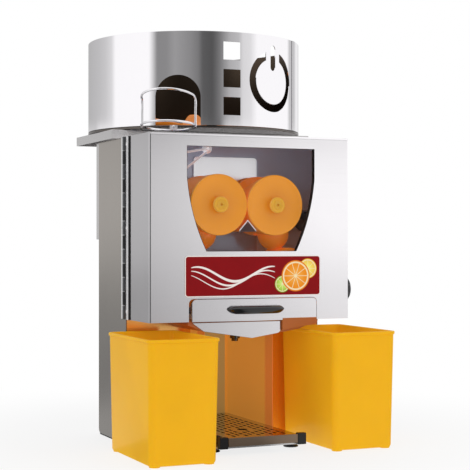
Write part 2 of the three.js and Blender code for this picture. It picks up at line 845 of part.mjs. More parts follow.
// Juice tray with its guard and spout
function trayOutline(inset) {
  const half = trayHalf - inset;
  return outline([
    [-half, trayTop + (inset ? over : 0)],
    [-half, trayTip + trayRimRise + inset / 2],
    [-trayKnee, trayTip + trayKneeRise + inset],
    [0, trayTip + inset, guardCorner],
    [trayKnee, trayTip + trayKneeRise + inset],
    [half, trayTip + trayRimRise + inset / 2],
    [half, trayTop + (inset ? over : 0)],
  ]);
}

function juiceTray() {
  const back = columnFront - seat;
  const shell = alongY(trayOutline(0), trayFront, back).subtract(
    alongY(trayOutline(trayWall), trayFront + trayWall, back - trayWall));
  const lipLow = trayTip + lipLowRise;
  const lip = alongY(outline([
    [guardRight + seat * 2, lipLow],
    [lipReach - trayWall, trayTip + trayRimRise - trayWall, trayWall],
    [lipReach, coverBottom - seat * 2],
    [drawerRight, coverBottom - seat * 2],
    [drawerRight, trayTop - seat],
    [drawerStepX + seat * 2, trayTop - seat],
    [drawerStepX + seat * 2, drawerBottom - seat * 2],
    [guardRight + seat * 2, drawerBottom - seat * 2],
  ]), -lipThickness, trayFront + trayWall / 2);
  const spoutWay = turnedZ(rod(spoutRadius + seat, trayTip - over, trayTip + trayRimRise), 0, spoutY);
  return shell.add(lip).subtract(spoutWay);
}

function trayGuard() {
  const slope = trayKneeRise / trayKnee;
  return alongY(outline([
    [-guardLeft, guardTop],
    [-trayKnee, trayTip + trayKneeRise, guardCorner],
    [0, trayTip, guardCorner],
    [guardRight, trayTip + guardRight * slope, guardCorner],
    [guardRight, guardTop],
  ]), trayFront - seat - sheet, trayFront - seat);
}

function juiceSpout() {
  const low = trayTip - spoutDrop;
  return turnedZ([
    [spoutBore, low],
    [spoutRadius, low],
    [spoutRadius, trayTip - seat - spoutCollarHeight],
    [spoutCollar, trayTip - seat - spoutCollarHeight],
    [spoutCollar, trayTip - seat],
    [spoutRadius, trayTip - seat],
    [spoutRadius, trayTip + spoutRise],
    [spoutBore, trayTip + spoutRise],
    [spoutBore, low],
  ], 0, spoutY, 12);
}

// Squeezing drums, each built about its own shaft
const boreRadius = shaftRadius + seat;

function cupDrum() {
  const drum = turnedY(rod(drumRadius, drumFront, drumRear), 0, 0, 24);
  const cups = [-1, 1].map((side) => solid(new THREE.SphereGeometry(cupRadius, 12, 8)
    .translate(0, ballY, side * pitchRadius)));
  const bore = turnedY(rod(boreRadius, drumFront - over, drumRear + over), 0, 0, 12);
  return drum.subtract(union([...cups, bore]));
}

function ballDrum() {
  const hub = turnedY(rod(hubRadius, drumFront + hubInset, drumRear - hubInset), 0, 0, 20);
  const balls = [-1, 1].map((side) => solid(new THREE.SphereGeometry(ballRadius, 12, 8)
    .translate(0, ballY, side * pitchRadius)));
  const slots = [-1, 1].flatMap((side) => {
    const outer = [side * (ballReach - ballSlotDepth), side * (ballReach + over)].sort((a, b) => a - b);
    const wide = [-ballRadius, ballRadius];
    const thin = [-ballSlot / 2, ballSlot / 2];
    const along = [ballY - ballRadius, ballY + ballRadius];
    const across = [ballY - ballSlot / 2, ballY + ballSlot / 2];
    return [box(thin, along, outer), box(wide, across, outer)];
  });
  const bore = turnedY(rod(boreRadius, drumFront - over, drumRear + over), 0, 0, 12);
  return union([hub, ...balls]).subtract(union([...slots, bore]));
}

function drumDisc() {
  const back = drumFront - seat;
  const face = back - discThickness;
  return turnedY([
    [boreRadius, face],
    [discRadius - discRim * 3, face - discDish],
    [discRadius - discRim, face - discDish - discDish],
    [discRadius, face - discDish],
    [discRadius, back - discDish],
    [discRadius - discRim, back],
    [boreRadius, back],
    [boreRadius, face],
  ], 0, 0, 24);
}

const discFace = drumFront - seat - discThickness;
const knobRear = discFace - seat - seat;
const knobFront = knobRear - knobLength;

function drumKnob() {
  const knob = turnedY([
    [0, knobFront + knobHoleDepth],
    [knobHole, knobFront + knobHoleDepth],
    [knobHole, knobFront],
    [knobRadius - knobEdge, knobFront],
    [knobRadius, knobFront + knobEdge],
    [knobRadius, knobRear],
    [0, knobRear],
  ], 0, 0, 16);
  return knob.subtract(turnedY(rod(boreRadius, knobRear - knobBite, knobRear + over), 0, 0, 12));
}

function gearOutline(teeth, phase) {
  // Straight-flanked teeth, each with two tip and two root corners.
  const pitch = 2 * Math.PI / teeth;
  const middle = gearModule * teeth / 2;
  const corners = [
    [middle - gearModule * dedendumShare, rootHalfShare],
    [middle + gearModule * addendumShare, tipHalfShare],
  ];
  const flank = [...corners.map(([r, share]) => [r, -share]), ...corners.reverse()];
  const points = [];
  for (let k = 0; k < teeth; k += 1) {
    for (const [r, share] of flank) {
      const angle = phase + (k + share) * pitch;
      points.push(new THREE.Vector2(r * Math.cos(angle), r * Math.sin(angle)));
    }
  }
  return points;
}

function mateDirection(from, to) {
  return Math.atan2(to.z - from.z, to.x - from.x);
}

function matePhase(phase, from, to, teeth, mateTeeth) {
  // The mate has a gap where this gear has a tooth, measured from the line between them.
  const offset = (phase - mateDirection(from, to)) * teeth / mateTeeth;
  return mateDirection(to, from) - offset + Math.PI / mateTeeth;
}

const motorPlace = { x: motorX, z: motorZ };
shafts.upper_left.phase = 0;
shafts.upper_right.phase = matePhase(0, shafts.upper_left, shafts.upper_right, gearTeeth, gearTeeth);
shafts.lower_left.phase = matePhase(0, shafts.upper_left, shafts.lower_left, gearTeeth, gearTeeth);
shafts.lower_right.phase = matePhase(
  shafts.upper_right.phase, shafts.upper_right, shafts.lower_right, gearTeeth, gearTeeth);
const pinionPhase = matePhase(0, shafts.upper_left, motorPlace, gearTeeth, pinionTeeth);

function gearedShaft({ upper, phase }) {
  const front = upper ? knobRear - knobBite + seat : drumFront + hubInset - seat - shaftHeadLength;
  const parts = [
    turnedY(rod(shaftRadius, front, shaftRear), 0, 0, 12),
    alongY(gearOutline(gearTeeth, phase), gearFront, gearFront + gearWidth),
  ];
  if (!upper) parts.push(turnedY(rod(shaftHeadRadius, front, front + shaftHeadLength), 0, 0, 12));
  return union(parts);
}

// A drum's group stands on its shaft, and a second group turns cups and balls towards their mates.
function drumGroup(name) {
  const place = shafts[name];
  const mate = shafts[name.replace(place.upper ? 'upper' : 'lower', place.upper ? 'lower' : 'upper')];
  const lean = Math.PI / 2 - mateDirection(place, mate);
  const drum = place.upper
    ? piece(`${name}_cup_drum`, cupDrum(), orangePlastic)
    : piece(`${name}_ball_drum`, ballDrum(), orangePlastic);
  drum.rotation.y = lean;
  const parts = [drum, piece(`${name}_geared_shaft`, gearedShaft(place), gearSteel)];
  if (place.upper) {
    parts.push(piece(`${name}_disc`, drumDisc(), orangePlastic));
    parts.push(piece(`${name}_knob`, drumKnob(), knobPlastic));
  }
  return group(parts, place.x, 0, place.z);
}

function motorPinion() {
  const parts = [
    alongY(gearOutline(pinionTeeth, pinionPhase), gearFront, gearFront + gearWidth),
    turnedY(rod(motorShaftRadius, gearFront, gearPlateY + gearPlateThickness + motorShaftBite), 0, 0, 16),
  ];
  return union(parts);
}

function driveMotor() {
  const front = gearPlateY + gearPlateThickness + seat;
  const bare = turnedY([
    [0, front], [motorNeckRadius, front], [motorNeckRadius, front + motorNeckLength],
    [motorRadius, front + motorNeckLength], [motorRadius, front + motorLength], [0, front + motorLength],
  ], 0, 0, 18);
  const way = rod(motorShaftRadius + runningGap, front - over, front + motorShaftBite + seat);
  const bore = turnedY(way, 0, 0, 16);
  return bare.subtract(bore);
}

function bearingPlate() {
  // The gearbox's front half: a plate behind the column front with four sleeves through it.
  const inner = shaftRadius + runningGap;
  const front = columnFront - backPlateThickness - bearingProud;
  const back = columnInFront + bearingPlateThickness;
  const reach = bearingRadius + pillarInset;
  const face = rectangle(-lowerX - reach, lowerZ - reach, lowerX + reach, upperZ + reach, pillarInset);
  const plate = alongY(face, columnInFront, back);
  const sleeves = shaftList.map(({ x, z }) => turnedY(rod(bearingRadius, front, back), x, z, 12));
  const bores = shaftList.map(({ x, z }) => turnedY(rod(inner, front - over, back + over), x, z, 12));
  return union([plate, ...sleeves]).subtract(union(bores));
}

function gearPlate() {
  // The gearbox's rear half, on four pillars, with the shafts' rear bearings and the motor's seat.
  const plate = alongY(rectangle(-gearPlateHalf, gearPlateBottom, gearPlateHalf, gearPlateTop, pillarInset),
    gearPlateY, gearPlateY + gearPlateThickness);
  const pillars = [];
  for (const x of [-gearPlateHalf + pillarInset, gearPlateHalf - pillarInset]) {
    for (const z of [gearPlateBottom + pillarInset, gearPlateTop - pillarInset]) {
      pillars.push(turnedY(rod(pillarRadius, columnInFront, gearPlateY + sheet), x, z, 8));
    }
  }
  const rear = gearPlateY + gearPlateThickness + bearingPlateThickness;
  const bosses = shaftList.map(({ x, z }) => turnedY(rod(bearingRadius, gearPlateY + sheet, rear), x, z, 12));
  const bores = shaftList.map(({ x, z }) => turnedY(
    rod(shaftRadius + runningGap, gearPlateY - over, rear + over), x, z, 12));
  const motorHole = turnedY(
    rod(motorShaftRadius + over / 2, gearPlateY - over, rear + over), motorX, motorZ, 12);
  return union([plate, ...pillars, ...bosses]).subtract(union([...bores, motorHole]));
}

// Fittings inside the squeezing chamber
function chamberPlate() {
  const face = rectangle(-backPlateHalf, backPlateBottom, backPlateHalf, backPlateTop, backPlateCorner);
  const plate = alongY(face, columnFront - seat - backPlateThickness, columnFront - seat);
  const holes = shaftList.map(({ x, z }) => turnedY(
    rod(bearingRadius + seat, columnFront - backPlateThickness - over, columnFront + over), x, z, 12));
  return plate.subtract(union(holes));
}

function knife() {
  const lift = knifeThickness * Math.hypot(knifeHalf, knifeDrop) / knifeHalf;
  const low = knifeApex - knifeDrop;
  return alongY([
    [0, knifeApex], [-knifeHalf, low], [-knifeHalf, low - lift], [0, knifeApex - lift],
    [knifeHalf, low - lift], [knifeHalf, low],
  ], knifeFront, columnFront - backPlateThickness - seat - seat);
}

function ejector(side) {
  // A wedge whose underside follows the circle swept by the balls.
  const sweep = ballReach + ejectorGap;
  const angleAt = (x) => Math.acos((x - lowerX) / sweep);
  const [from, to] = [angleAt(ejectorTip), angleAt(ejectorTip + ejectorReach)];
  const under = [];
  for (let k = 0; k <= 6; k += 1) {
    const angle = from + (to - from) * k / 6;
    under.push([side * (lowerX + sweep * Math.cos(angle)), lowerZ + sweep * Math.sin(angle)]);
  }
  const outer = [side * (ejectorTip + ejectorReach), ejectorTop + ejectorRise];
  const shape = [...under, outer, [side * ejectorTip, ejectorTop]];
  return alongY(side > 0 ? shape : shape.reverse(), ejectorFront, columnFront - seat);
}

function feedChute() {
  const back = columnFront - seat;
  const middle = [[-chuteOut, chuteTop], [-chuteOut, chuteBend, chuteCorner], [-chuteEndX, chuteEndZ]];
  const [inward, upward] = chuteInwardShares.map((share) => sheet * share);
  const inner = middle.map(([x, z, r]) => [x + inward, z + (z === chuteTop ? 0 : upward), r && r - sheet]);
  const ribbon = alongY(outline([...middle, ...inner.reverse()], 6), chuteFront, back);
  const flange = box([-chuteOut, -chuteOut + chuteFlange], [back - sheet, back], [chuteBend, chuteTop]);
  return ribbon.add(flange);
}

function chuteGuide() {
  // A hairpin of wire from one bolt flange: out, down and back.
  const back = columnFront - seat;
  const rootY = back - guideFlangeThickness / 2;
  const root = new THREE.Vector3(guideX, rootY, guideZ);
  const out = new THREE.Vector3(guideEndX, guideFront, guideZ - guideFall);
  const lowRoot = new THREE.Vector3(guideX, rootY, guideZ - guideFlange / 2);
  const low = new THREE.Vector3(guideEndX, guideFront, guideZ - guideFall - guideSpread);
  const upper = guideShares.map((share) => root.clone().lerp(out, share));
  const lower = guideShares.map((share) => lowRoot.clone().lerp(low, share));
  const curve = new THREE.CatmullRomCurve3([...upper, out, low, ...lower.reverse()], false, 'centripetal');
  const flange = turnedY(rod(guideFlange, back - guideFlangeThickness, back), guideX, guideZ, 16);
  return wire(curve, wireRadius, 24, 6).add(flange);
}

// Hopper, built about its own upright axis
const cageOut = Math.hypot(inletX, inletY - hopperY); // from the hopper's axis to the cage's
const cageAngle = Math.atan2(inletX, hopperY - inletY);
const archAngle = cageAngle / radians + archLead;
const floorTop = hopperBaseTop + seat + hopperFloorThickness;

function radialCut(points, degrees) {
  // An outline in width and height, cut through the wall in the direction of the angle.
  return alongY(points, -hopperRadius - over, -hopperRadius * cutDepthShare).rotate([0, 0, degrees]);
}

function archOutline() {
  const half = archWidth / 2;
  return outline([[-half, hopperRim - over], [half, hopperRim - over], [half, archTop, half * roundEndShare],
    [-half, archTop, half * roundEndShare]], 7);
}

function ringOutline() {
  // A broken ring, open at the top, as one closed outline.
  const limit = (radius) => Math.PI / 2 - Math.asin(ringGapHalf / radius);
  const points = [];
  const sweep = (radius, from, to, steps) => {
    for (let k = 0; k <= steps; k += 1) {
      const angle = from + (to - from) * k / steps;
      points.push(new THREE.Vector2(radius * Math.cos(angle), ringZ + radius * Math.sin(angle)));
    }
  };
  sweep(ringOuter, Math.PI - limit(ringOuter), 2 * Math.PI + limit(ringOuter), 16);
  sweep(ringInner, 2 * Math.PI + limit(ringInner), Math.PI - limit(ringInner), 16);
  return points;
}

function hopperWall() {
  const wall = turnedZ(sleeve(hopperRadius - sheet, hopperRadius, hopperRim, hopperTop), 0, 0, roundSides);
  const half = slotWidth / 2;
  const bar = rectangle(-barWidth / 2, barBottom, barWidth / 2, barTop, barWidth / 2 * roundEndShare);
  const cuts = [
    radialCut(archOutline(), archAngle),
    radialCut(ringOutline(), ringAngle),
    radialCut(bar, ringAngle),
    ...slotBottoms.map((low) => radialCut(rectangle(-half, low, half, low + slotHeight), slotAngle)),
  ];
  const strip = box([-seamWidth / 2, seamWidth / 2],
    [-hopperRadius - seamThickness, -hopperRadius + sheet],
    [hopperRim, hopperTop]).rotate([0, 0, seamAngle]);
  return wall.subtract(union(cuts)).add(strip.subtract(
    turnedZ(rod(hopperRadius - sheet / 2, hopperRim - over, hopperTop + over), 0, 0, roundSides)));
}

function hopperFloor() {
  const low = hopperBaseTop + seat;
  const disc = turnedZ(rod(hopperRadius, low, low + hopperFloorThickness), 0, 0, roundSides);
  return disc.subtract(turnedZ(rod(feederShaftWay, low - over, floorTop + over)));
}

function hopperBase() {
  const [front, rear] = [hopperBaseFront - hopperY, hopperBaseRear - hopperY];
  const low = bodyTop + seat;
  const outer = box([-hopperBaseHalf, hopperBaseHalf], [front, rear], [low, hopperBaseTop]);
  const hollow = box([-hopperBaseHalf + sheet, hopperBaseHalf - sheet], [front + sheet, rear - sheet],
    [low - over, hopperBaseTop - sheet]);
  return outer.subtract(hollow).subtract(turnedZ(rod(feederShaftWay, low, hopperBaseTop + over)));
}

function outletCage() {
  // Laid out with the cage's own direction along -Y, then turned to the arch: a gate of two posts
  // and a crowned hoop, on a tilted ring whose foot is fixed to the edge of the hopper's floor.
  const post = (side, z) => new THREE.Vector3(side * cageRadius, -cageOut, z);
  const gate = [post(-1, cageRingZ), post(-1, cageTop - cageBend)];
  const hoopSteps = 8;
  for (let k = 0; k <= hoopSteps; k += 1) {
    const angle = Math.PI * (1 + (k + 0.5) / (hoopSteps + 1));
    const lift = cageCrown * -Math.sin(angle);
    gate.push(new THREE.Vector3(
      cageRadius * Math.cos(angle),
      -cageOut + cageRadius * Math.sin(angle),
      cageTop + lift,
    ));
  }
  gate.push(post(1, cageTop - cageBend), post(1, cageRingZ));
  const hoop = new THREE.CatmullRomCurve3(gate, false, 'centripetal');
  const ringSteps = 18;
  const section = circle(wireRadius, 0, 0, 6);
  const rings = [];
  for (let k = 0; k < ringSteps; k += 1) {
    const angle = k / ringSteps * 2 * Math.PI;
    rings.push(section.map((p) => new THREE.Vector3(
      (cageRadius + p.x) * Math.cos(angle),
      -cageOut + (cageRadius + p.x) * Math.sin(angle),
      cageRingZ - cageRingTilt * Math.sin(angle) + p.y,
    )));
  }
  const footFace = -hopperRadius - seat * 2;
  const foot = box(
    [-cageFoot / 2, cageFoot / 2],
    [footFace - wireRadius, footFace],
    [cageRingZ - cageRingTilt, floorTop],
  );
  const cage = union([wire(hoop, wireRadius, 32, 6), closedLoop(rings), foot]);
  return cage.rotate([0, 0, cageAngle / radians]);
}

function closedLoop(rings) {
  // Rings of points joined in a circle, the last to the first.
  const count = rings[0].length;
  const position = rings.flat().flatMap((p) => [p.x, p.y, p.z]);
  const index = [];
  rings.forEach((ring, r) => {
    const after = (r + 1) % rings.length;
    for (let k = 0; k < count; k += 1) {
      const next = (k + 1) % count;
      const [a, b, c, d] = [r * count + k, r * count + next, after * count + next, after * count + k];
      index.push(a, c, b, a, d, c);
    }
  });
  const geometry = new THREE.BufferGeometry();
  geometry.setAttribute('position', new THREE.BufferAttribute(new Float32Array(position), 3));
  geometry.setIndex(index);
  return solid(geometry);
}

// Feeder that turns in the hopper
const rotorBottom = floorTop + rotorLift;
const motorTop = bodyTop - sheet - seat;

function feederRotor() {
  const top = rotorBottom + rotorHeight;
  const hub = turnedZ([
    [0, rotorBottom], [rotorHub, rotorBottom], [rotorHub, rotorBottom + rotorPlate],
    [rotorConeTop, top - rotorPlate], [rotorConeTop / 2, top], [0, top],
  ], 0, 0, 18);
  const half = fingerWidth / 2;
  const plan = rectangle(rotorHub / 2, -half, rotorRadius, half, half * roundEndShare, 3);
  const fingers = [];
  for (let k = 0; k < rotorFingers; k += 1) {
    const finger = alongZ(plan, rotorBottom, rotorBottom + fingerHeight);
    fingers.push(finger.rotate([0, 0, (k + 0.5) * 360 / rotorFingers]));
  }
  const bore = turnedZ(rod(feederShaftRadius + seat, rotorBottom - over, top - rotorPlate * 2), 0, 0, 16);
  return union([hub, ...fingers]).subtract(bore);
}

function feederShaft() {
  const top = rotorBottom + rotorHeight - rotorPlate * 2 - seat;
  return turnedZ(rod(feederShaftRadius, motorTop - feederShaftBite, top), 0, 0, 16);
}

function feederMotor() {
  const bare = turnedZ([
    [0, motorTop - feederMotorHeight], [feederMotorRadius, motorTop - feederMotorHeight],
    [feederMotorRadius, motorTop], [0, motorTop],
  ], 0, 0, 14);
  return bare.subtract(turnedZ(
    rod(feederShaftRadius + runningGap, motorTop - feederShaftBite - seat, motorTop + over), 0, 0, 16));
}

// Drip tray, the base it slides on and its blocks
const dripRear = columnFront + alcoveDepth - dripRearGap;

function dripPan() {
  const height = [dripBottom, dripTop - grilleThickness - seat];
  const outer = box([-dripHalf, dripHalf], [dripFront, dripRear], height);
  const hollow = box([-dripHalf + dripWall, dripHalf - dripWall], [dripFront + dripWall, dripRear - dripWall],
    [dripBottom + dripWall, dripTop + over]);
  const lip = box([-dripHalf, dripHalf], [dripFront, dripFront + dripWall], [dripBottom, dripTop]);
  return outer.subtract(hollow).add(lip);
}

function dripGrille() {
  const front = dripFront + dripWall + seat;
  const face = rectangle(-dripHalf, front, dripHalf, dripRear, blockCorner);
  const plate = alongZ(face, dripTop - grilleThickness, dripTop);
  const through = [dripTop - over, dripTop + over];
  const finger = turnedZ(rod(grilleHoleRadius, ...through), 0, grilleHoleY, 16);
  const slots = [];
  const pitchX = 2 * (dripHalf - grilleBorder) / grilleColumns;
  const pitchY = (dripRear - front - 2 * grilleBorder) / grilleRows;
  const [halfX, halfY] = [grilleSlotWidth / 2, grilleSlotLength / 2];
  for (let row = 0; row < grilleRows; row += 1) {
    for (let column = 0; column < grilleColumns; column += 1) {
      const x = (column - (grilleColumns - 1) / 2) * pitchX;
      const y = front + grilleBorder + (row + grilleRowShares[column % 2]) * pitchY;
      const clear = Math.hypot(x, y - grilleHoleY) > grilleHoleRadius + grilleSlotLength;
      if (clear) slots.push(box([x - halfX, x + halfX], [y - halfY, y + halfY], through));
    }
  }
  return plate.subtract(union([finger, ...slots]));
}

function trayBase() {
  const top = dripBottom - seat;
  const back = columnFront - seat;
  const wide = alongZ(outline([
    [-baseHalf, baseFront],
    [baseHalf, baseFront],
    [baseHalf, back],
    [dripHalf, back],
    [dripHalf, dripRear],
    [-dripHalf, dripRear],
    [-dripHalf, back],
    [-baseHalf, back],
  ]), baseBottom, top);
  const riser = box([-riserHalf, riserHalf], [columnInFront + riserInset, dripRear - riserInset],
    [bodyLift + sheet + seat, top - seat]);
  return wide.add(riser);
}

function frontFoot(side) {
  // One moulding: the block at the tray's corner, an arm under the base and a round foot.
  const near = dripHalf + seat * 2;
  const far = near + blockWidth;
  const sorted = (pair) => pair.map((x) => side * x).sort((a, b) => a - b);
  const [inner, outer] = sorted([near, far]);
  const height = baseBottom - seat;
  const armLow = height - armThickness;
  const back = baseFront - seat;
  const block = alongY(rectangle(inner, blockBottom, outer, blockTop, blockCorner, 2), dripFront, back);
  const armEnds = sorted([near + blockCorner, far - blockCorner]);
  const arm = box(armEnds, [dripFront + armInset, frontFootY], [armLow, height]);
  const neck = box(armEnds, [dripFront + armInset, back], [armLow, blockBottom + armThickness]);
  const foot = turnedZ([[0, 0], [frontFootRadius, 0], [frontFootRadius, height / 2],
    [frontFootRadius * footTopShare, height], [0, height]], side * frontFootX, frontFootY);
  return union([block, neck, arm, foot]);
}

// Peel bins, each built about its own middle
function bin() {
  const ring = (grow, z) => {
    const lean = (z - binFoot) / (binHeight - binFoot);
    const [x, y] = [binWidth / 2 + binFlareX * lean + grow, binLength / 2 + binFlareY * lean + grow];
    return ringAt(rectangle(-x, -y, x, y, binCorner + grow, 3), z);
  };
  const rimLow = binHeight - binRimHeight;
  const shell = lofted([
    ring(0, binFoot),
    ring(0, rimLow),
    ring(binRim, rimLow + binRim / 2),
    ring(binRim, binHeight - binRim / 2),
    ring(binRim / 2, binHeight),
    ring(-binWall / 2, binHeight),
    ring(-binWall, binHeight - binRim / 2),
    ring(-binWall, binFoot + binWall),
  ]);
  const pads = [-1, 1].flatMap((a) => [-1, 1].map((b) => {
    const x = [binFootInset, binFootSide].map((inset) => a * (binWidth / 2 - inset)).sort((p, q) => p - q);
    const y = [binFootInset, binFootSide].map((inset) => b * (binLength / 2 - inset)).sort((p, q) => p - q);
    return alongZ(rectangle(x[0], y[0], x[1], y[1], binCorner / 2, 2), 0, binFoot + binWall / 2);
  }));
  return union([shell, ...pads]);
}

// The assembly
const rockerGroup = group([piece('switch_rocker', rocker(), blackPlastic)],
  moduleX, columnRear + moduleFlange - rockerProud / 3, switchZ);
rockerGroup.rotation.x = rockerTilt * radians;

const column = group([
  piece('side_panel_left', sidePanel(-1), brushedSteel),
  piece('side_panel_right', sidePanel(1), brushedSteel),
  piece('column_front_plate', frontPlate(), brushedSteel),
  piece('rear_cover', rearCover(), brushedSteel),
  piece('top_plate', topPlate(), brushedSteel),
  piece('base_plate', basePlate(), brushedSteel),
  piece('alcove_liner', alcoveLiner(), brushedSteel),
  piece('rear_box', rearBox(), brushedSteel),
  piece('base_strip', baseStrip(), blackRubber),
  piece('power_module', powerModule(), blackPlastic),
  rockerGroup,
  piece('hinge_leaf_column', hingeLeaf(false), brushedSteel),
]);

const cover = group([
  piece('cover_shell', coverShell(), brushedSteel),
  piece('window_pane', windowPane(), clearPane),
  piece('window_gasket', windowGasket(), blackRubber),
  piece('front_label', frontLabel(), labelRed),
  piece('hinge_leaf_cover', hingeLeaf(true), brushedSteel),
  piece('latch_knob', latchKnob(), blackGloss),
]);

const chamber = group([
  piece('chamber_back_plate', chamberPlate(), brushedSteel),
  piece('knife', knife(), brushedSteel),
  piece('peel_ejector_left', ejector(-1), blackPlastic),
  piece('peel_ejector_right', ejector(1), blackPlastic),
  piece('feed_chute', feedChute(), brushedSteel),
  piece('chute_guide', chuteGuide(), chrome),
]);

const drive = group([
  ...Object.keys(shafts).map(drumGroup),
  piece('bearing_plate', bearingPlate(), castPlate),
  piece('gear_plate', gearPlate(), castPlate),
  group([
    piece('motor_pinion', motorPinion(), gearNylon),
    piece('drive_motor', driveMotor(), motorPaint),
  ], motorX, 0, motorZ),
]);

const juicing = group([
  piece('drawer_front', drawerFront(), brushedSteel),
  piece('drawer_handle', drawerHandle(), blackGloss),
  piece('pulp_sieve', pulpSieve(), brushedSteel),
  piece('juice_tray', juiceTray(), trayPlastic),
  piece('tray_guard', trayGuard(), brushedSteel),
  piece('juice_spout', juiceSpout(), brushedSteel),
]);

const hopper = group([
  piece('hopper_base', hopperBase(), brushedSteel),
  piece('hopper_floor', hopperFloor(), darkPlate),
  piece('hopper_wall', hopperWall(), mirrorSteel),
  piece('outlet_cage', outletCage(), chrome),
  piece('feeder_rotor', feederRotor(), orangePlastic),
  piece('feeder_shaft', feederShaft(), gearSteel),
  piece('feeder_motor', feederMotor(), motorPaint),
], 0, hopperY, 0);

const dripTray = group([
  piece('drip_pan', dripPan(), brushedSteel),
  piece('drip_grille', dripGrille(), brushedSteel),
  piece('tray_base', trayBase(), brushedSteel),
  piece('front_foot_left', frontFoot(-1), blackPlastic),
  piece('front_foot_right', frontFoot(1), blackPlastic),
]);

const bins = [
  group([piece('peel_bin_left', bin(), yellowPlastic)], -binX, leftBinY),
  group([piece('peel_bin_right', bin(), yellowPlastic)], binX, rightBinY),
];

// The whole is centred, so that the origin lies under the middle of its box.
const foremost = leftBinY - binLength / 2 - binFlareY - binRim;
const rearmost = hopperY + hopperRadius;
const juicer = group([column, cover, chamber, drive, juicing, hopper, dripTray, ...bins],
  0, -(foremost + rearmost) / 2);

export default juicer;
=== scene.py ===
import json
from functools import partialmethod
from math import acos, cos, degrees, pi, radians, sin, tan, tau

import bmesh
import bpy
from bpy.props import FloatProperty, FloatVectorProperty, IntProperty, PointerProperty
from bpy.types import Operator, Panel, PropertyGroup
from mathutils import Matrix, Vector


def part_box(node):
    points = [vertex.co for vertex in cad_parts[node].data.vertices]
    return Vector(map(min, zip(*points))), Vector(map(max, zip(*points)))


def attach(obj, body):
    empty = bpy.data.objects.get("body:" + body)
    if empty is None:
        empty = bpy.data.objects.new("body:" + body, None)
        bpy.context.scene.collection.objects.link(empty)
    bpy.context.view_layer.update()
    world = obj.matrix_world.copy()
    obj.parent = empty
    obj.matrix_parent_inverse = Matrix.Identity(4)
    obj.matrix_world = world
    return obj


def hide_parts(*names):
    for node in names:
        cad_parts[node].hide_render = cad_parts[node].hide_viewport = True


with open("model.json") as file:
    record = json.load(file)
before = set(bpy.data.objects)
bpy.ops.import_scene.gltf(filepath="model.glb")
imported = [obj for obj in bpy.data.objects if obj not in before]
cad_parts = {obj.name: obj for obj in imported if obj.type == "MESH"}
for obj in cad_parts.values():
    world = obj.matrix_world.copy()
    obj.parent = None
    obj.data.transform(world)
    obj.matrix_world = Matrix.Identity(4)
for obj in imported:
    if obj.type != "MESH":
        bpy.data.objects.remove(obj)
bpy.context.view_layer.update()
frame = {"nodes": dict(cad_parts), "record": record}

bl_info = {
    "name": "Automatic orange juicer",
    "version": (1, 0, 0),
    "blender": (4, 5, 0),
    "location": "View3D > Sidebar > Juicer",
    "description": "Dresses the juicer's frame with sheet metal, plastics and fine pieces",
    "category": "Object",
}

X, Y, Z = Vector((1, 0, 0)), Vector((0, 1, 0)), Vector((0, 0, 1))
ROWS = frame["record"]["subparts"]
SLOTS = {row["node"]: row["material_slot"] for row in ROWS}
BODIES = {node: body for body, nodes in frame["record"]["behaviour"]["bodies"].items() for node in nodes}
FINISHES = {}

# Lengths in metres, angles in degrees and places of what the frame's boxes don't give
SHEET = 0.0015
SEAT = 0.0003
WELD = 1e-6
WALL_REACH = 0.0004
WALL_LEAN = 0.9
WALL_STEPS = 192
COVER_FOLD = 0.0042
LABEL_CORNER = 0.006
WINDOW_TOP_HALF = 0.1205
WINDOW_SILL_HALF = 0.085
WINDOW_BELLY = 0.1146
WINDOW_BELLY_Z = 0.40024
WINDOW_SHOULDER = 0.466
WINDOW_SILL = 0.341
WINDOW_TOP = 0.5205
WINDOW_STEPS = 24
SEAL_LIP = 0.0004
SEAL_FRAME = 0.003
SEAL_DEPTH = 0.006
GUIDE_FLANGE = 0.009
GUIDE_PLATE = 0.003
GUIDE_FALL = 0.018
GUIDE_SPREAD = 0.048
GUIDE_END = Vector((-0.138, -0.12815, 0))
GUIDE_SHARES = (0, 0.5, 0.9, 1)
BORE = 0.0083
GROOVE = 0.004
FLOOR_BORE = 0.0075
CUP_RADIUS = 0.036
CUP_ROUND = 0.001
DRUM_GAP = 0.0005
BALL_RADIUS = 0.028
BALL_SLOT = 0.004
BALL_SLOT_DEPTH = 0.010
HUB_BITE = 0.0015
DISC_RIM = 0.0025
DISC_HOLE = Vector((-0.0055, 0, 0.0138))
DISC_HOLE_RADIUS = 0.0012
KNOB_ROUND = 0.003
KNOB_STEM = 0.6
KNOB_HOLE = 0.0021
KNOB_GROOVE = 0.0006
FRONT_CORNER = 0.0078
FRONT_TOP = 0.2597
FRONT_LOW = 0.2213
FRONT_RIGHT_LOW = 0.2245
FRONT_STEP = 0.056
HANDLE_STEPS = 40
HANDLE_SQUARE = 0.42
HANDLE_POINT = 0.8
SPOUT_RADIUS = 0.006
SPOUT_BORE = 0.0042
ARCH_ANGLE = -29.8
ARCH_WIDTH = 0.081
ARCH_TOP = 0.652
SQUARE_ANGLE = -1.75
SQUARE_WIDTH = 0.0325
SQUARE_HEIGHT = 0.032
SQUARE_BOTTOMS = (0.5819, 0.6312, 0.6801)
RING_ANGLE = 24.1
RING_Z = 0.647
RING_OUTER = 0.055
RING_INNER = 0.041
RING_GAP = 0.018
BAR_WIDTH = 0.013
BAR_LOW = 0.6666
BAR_HIGH = 0.7124
SEAM_ANGLE = 45.6
SEAM_WIDTH = 0.016
SEAM_LIFT = 0.0001
SEAM_THICKNESS = 0.001
CAGE_CENTRE = (-0.1303, -0.11115, 0)
CAGE_RADIUS = 0.047
CAGE_RING = 0.5585
CAGE_TILT = 0.0045
CAGE_TOP = 0.606
CAGE_CROWN = 0.0115
CAGE_BEND = 0.004
CAGE_FOOT = 0.014
ROTOR_HUB = 0.042
ROTOR_RADIUS = 0.182
FINGER = 0.012
GRILLE_BORDER = 0.012
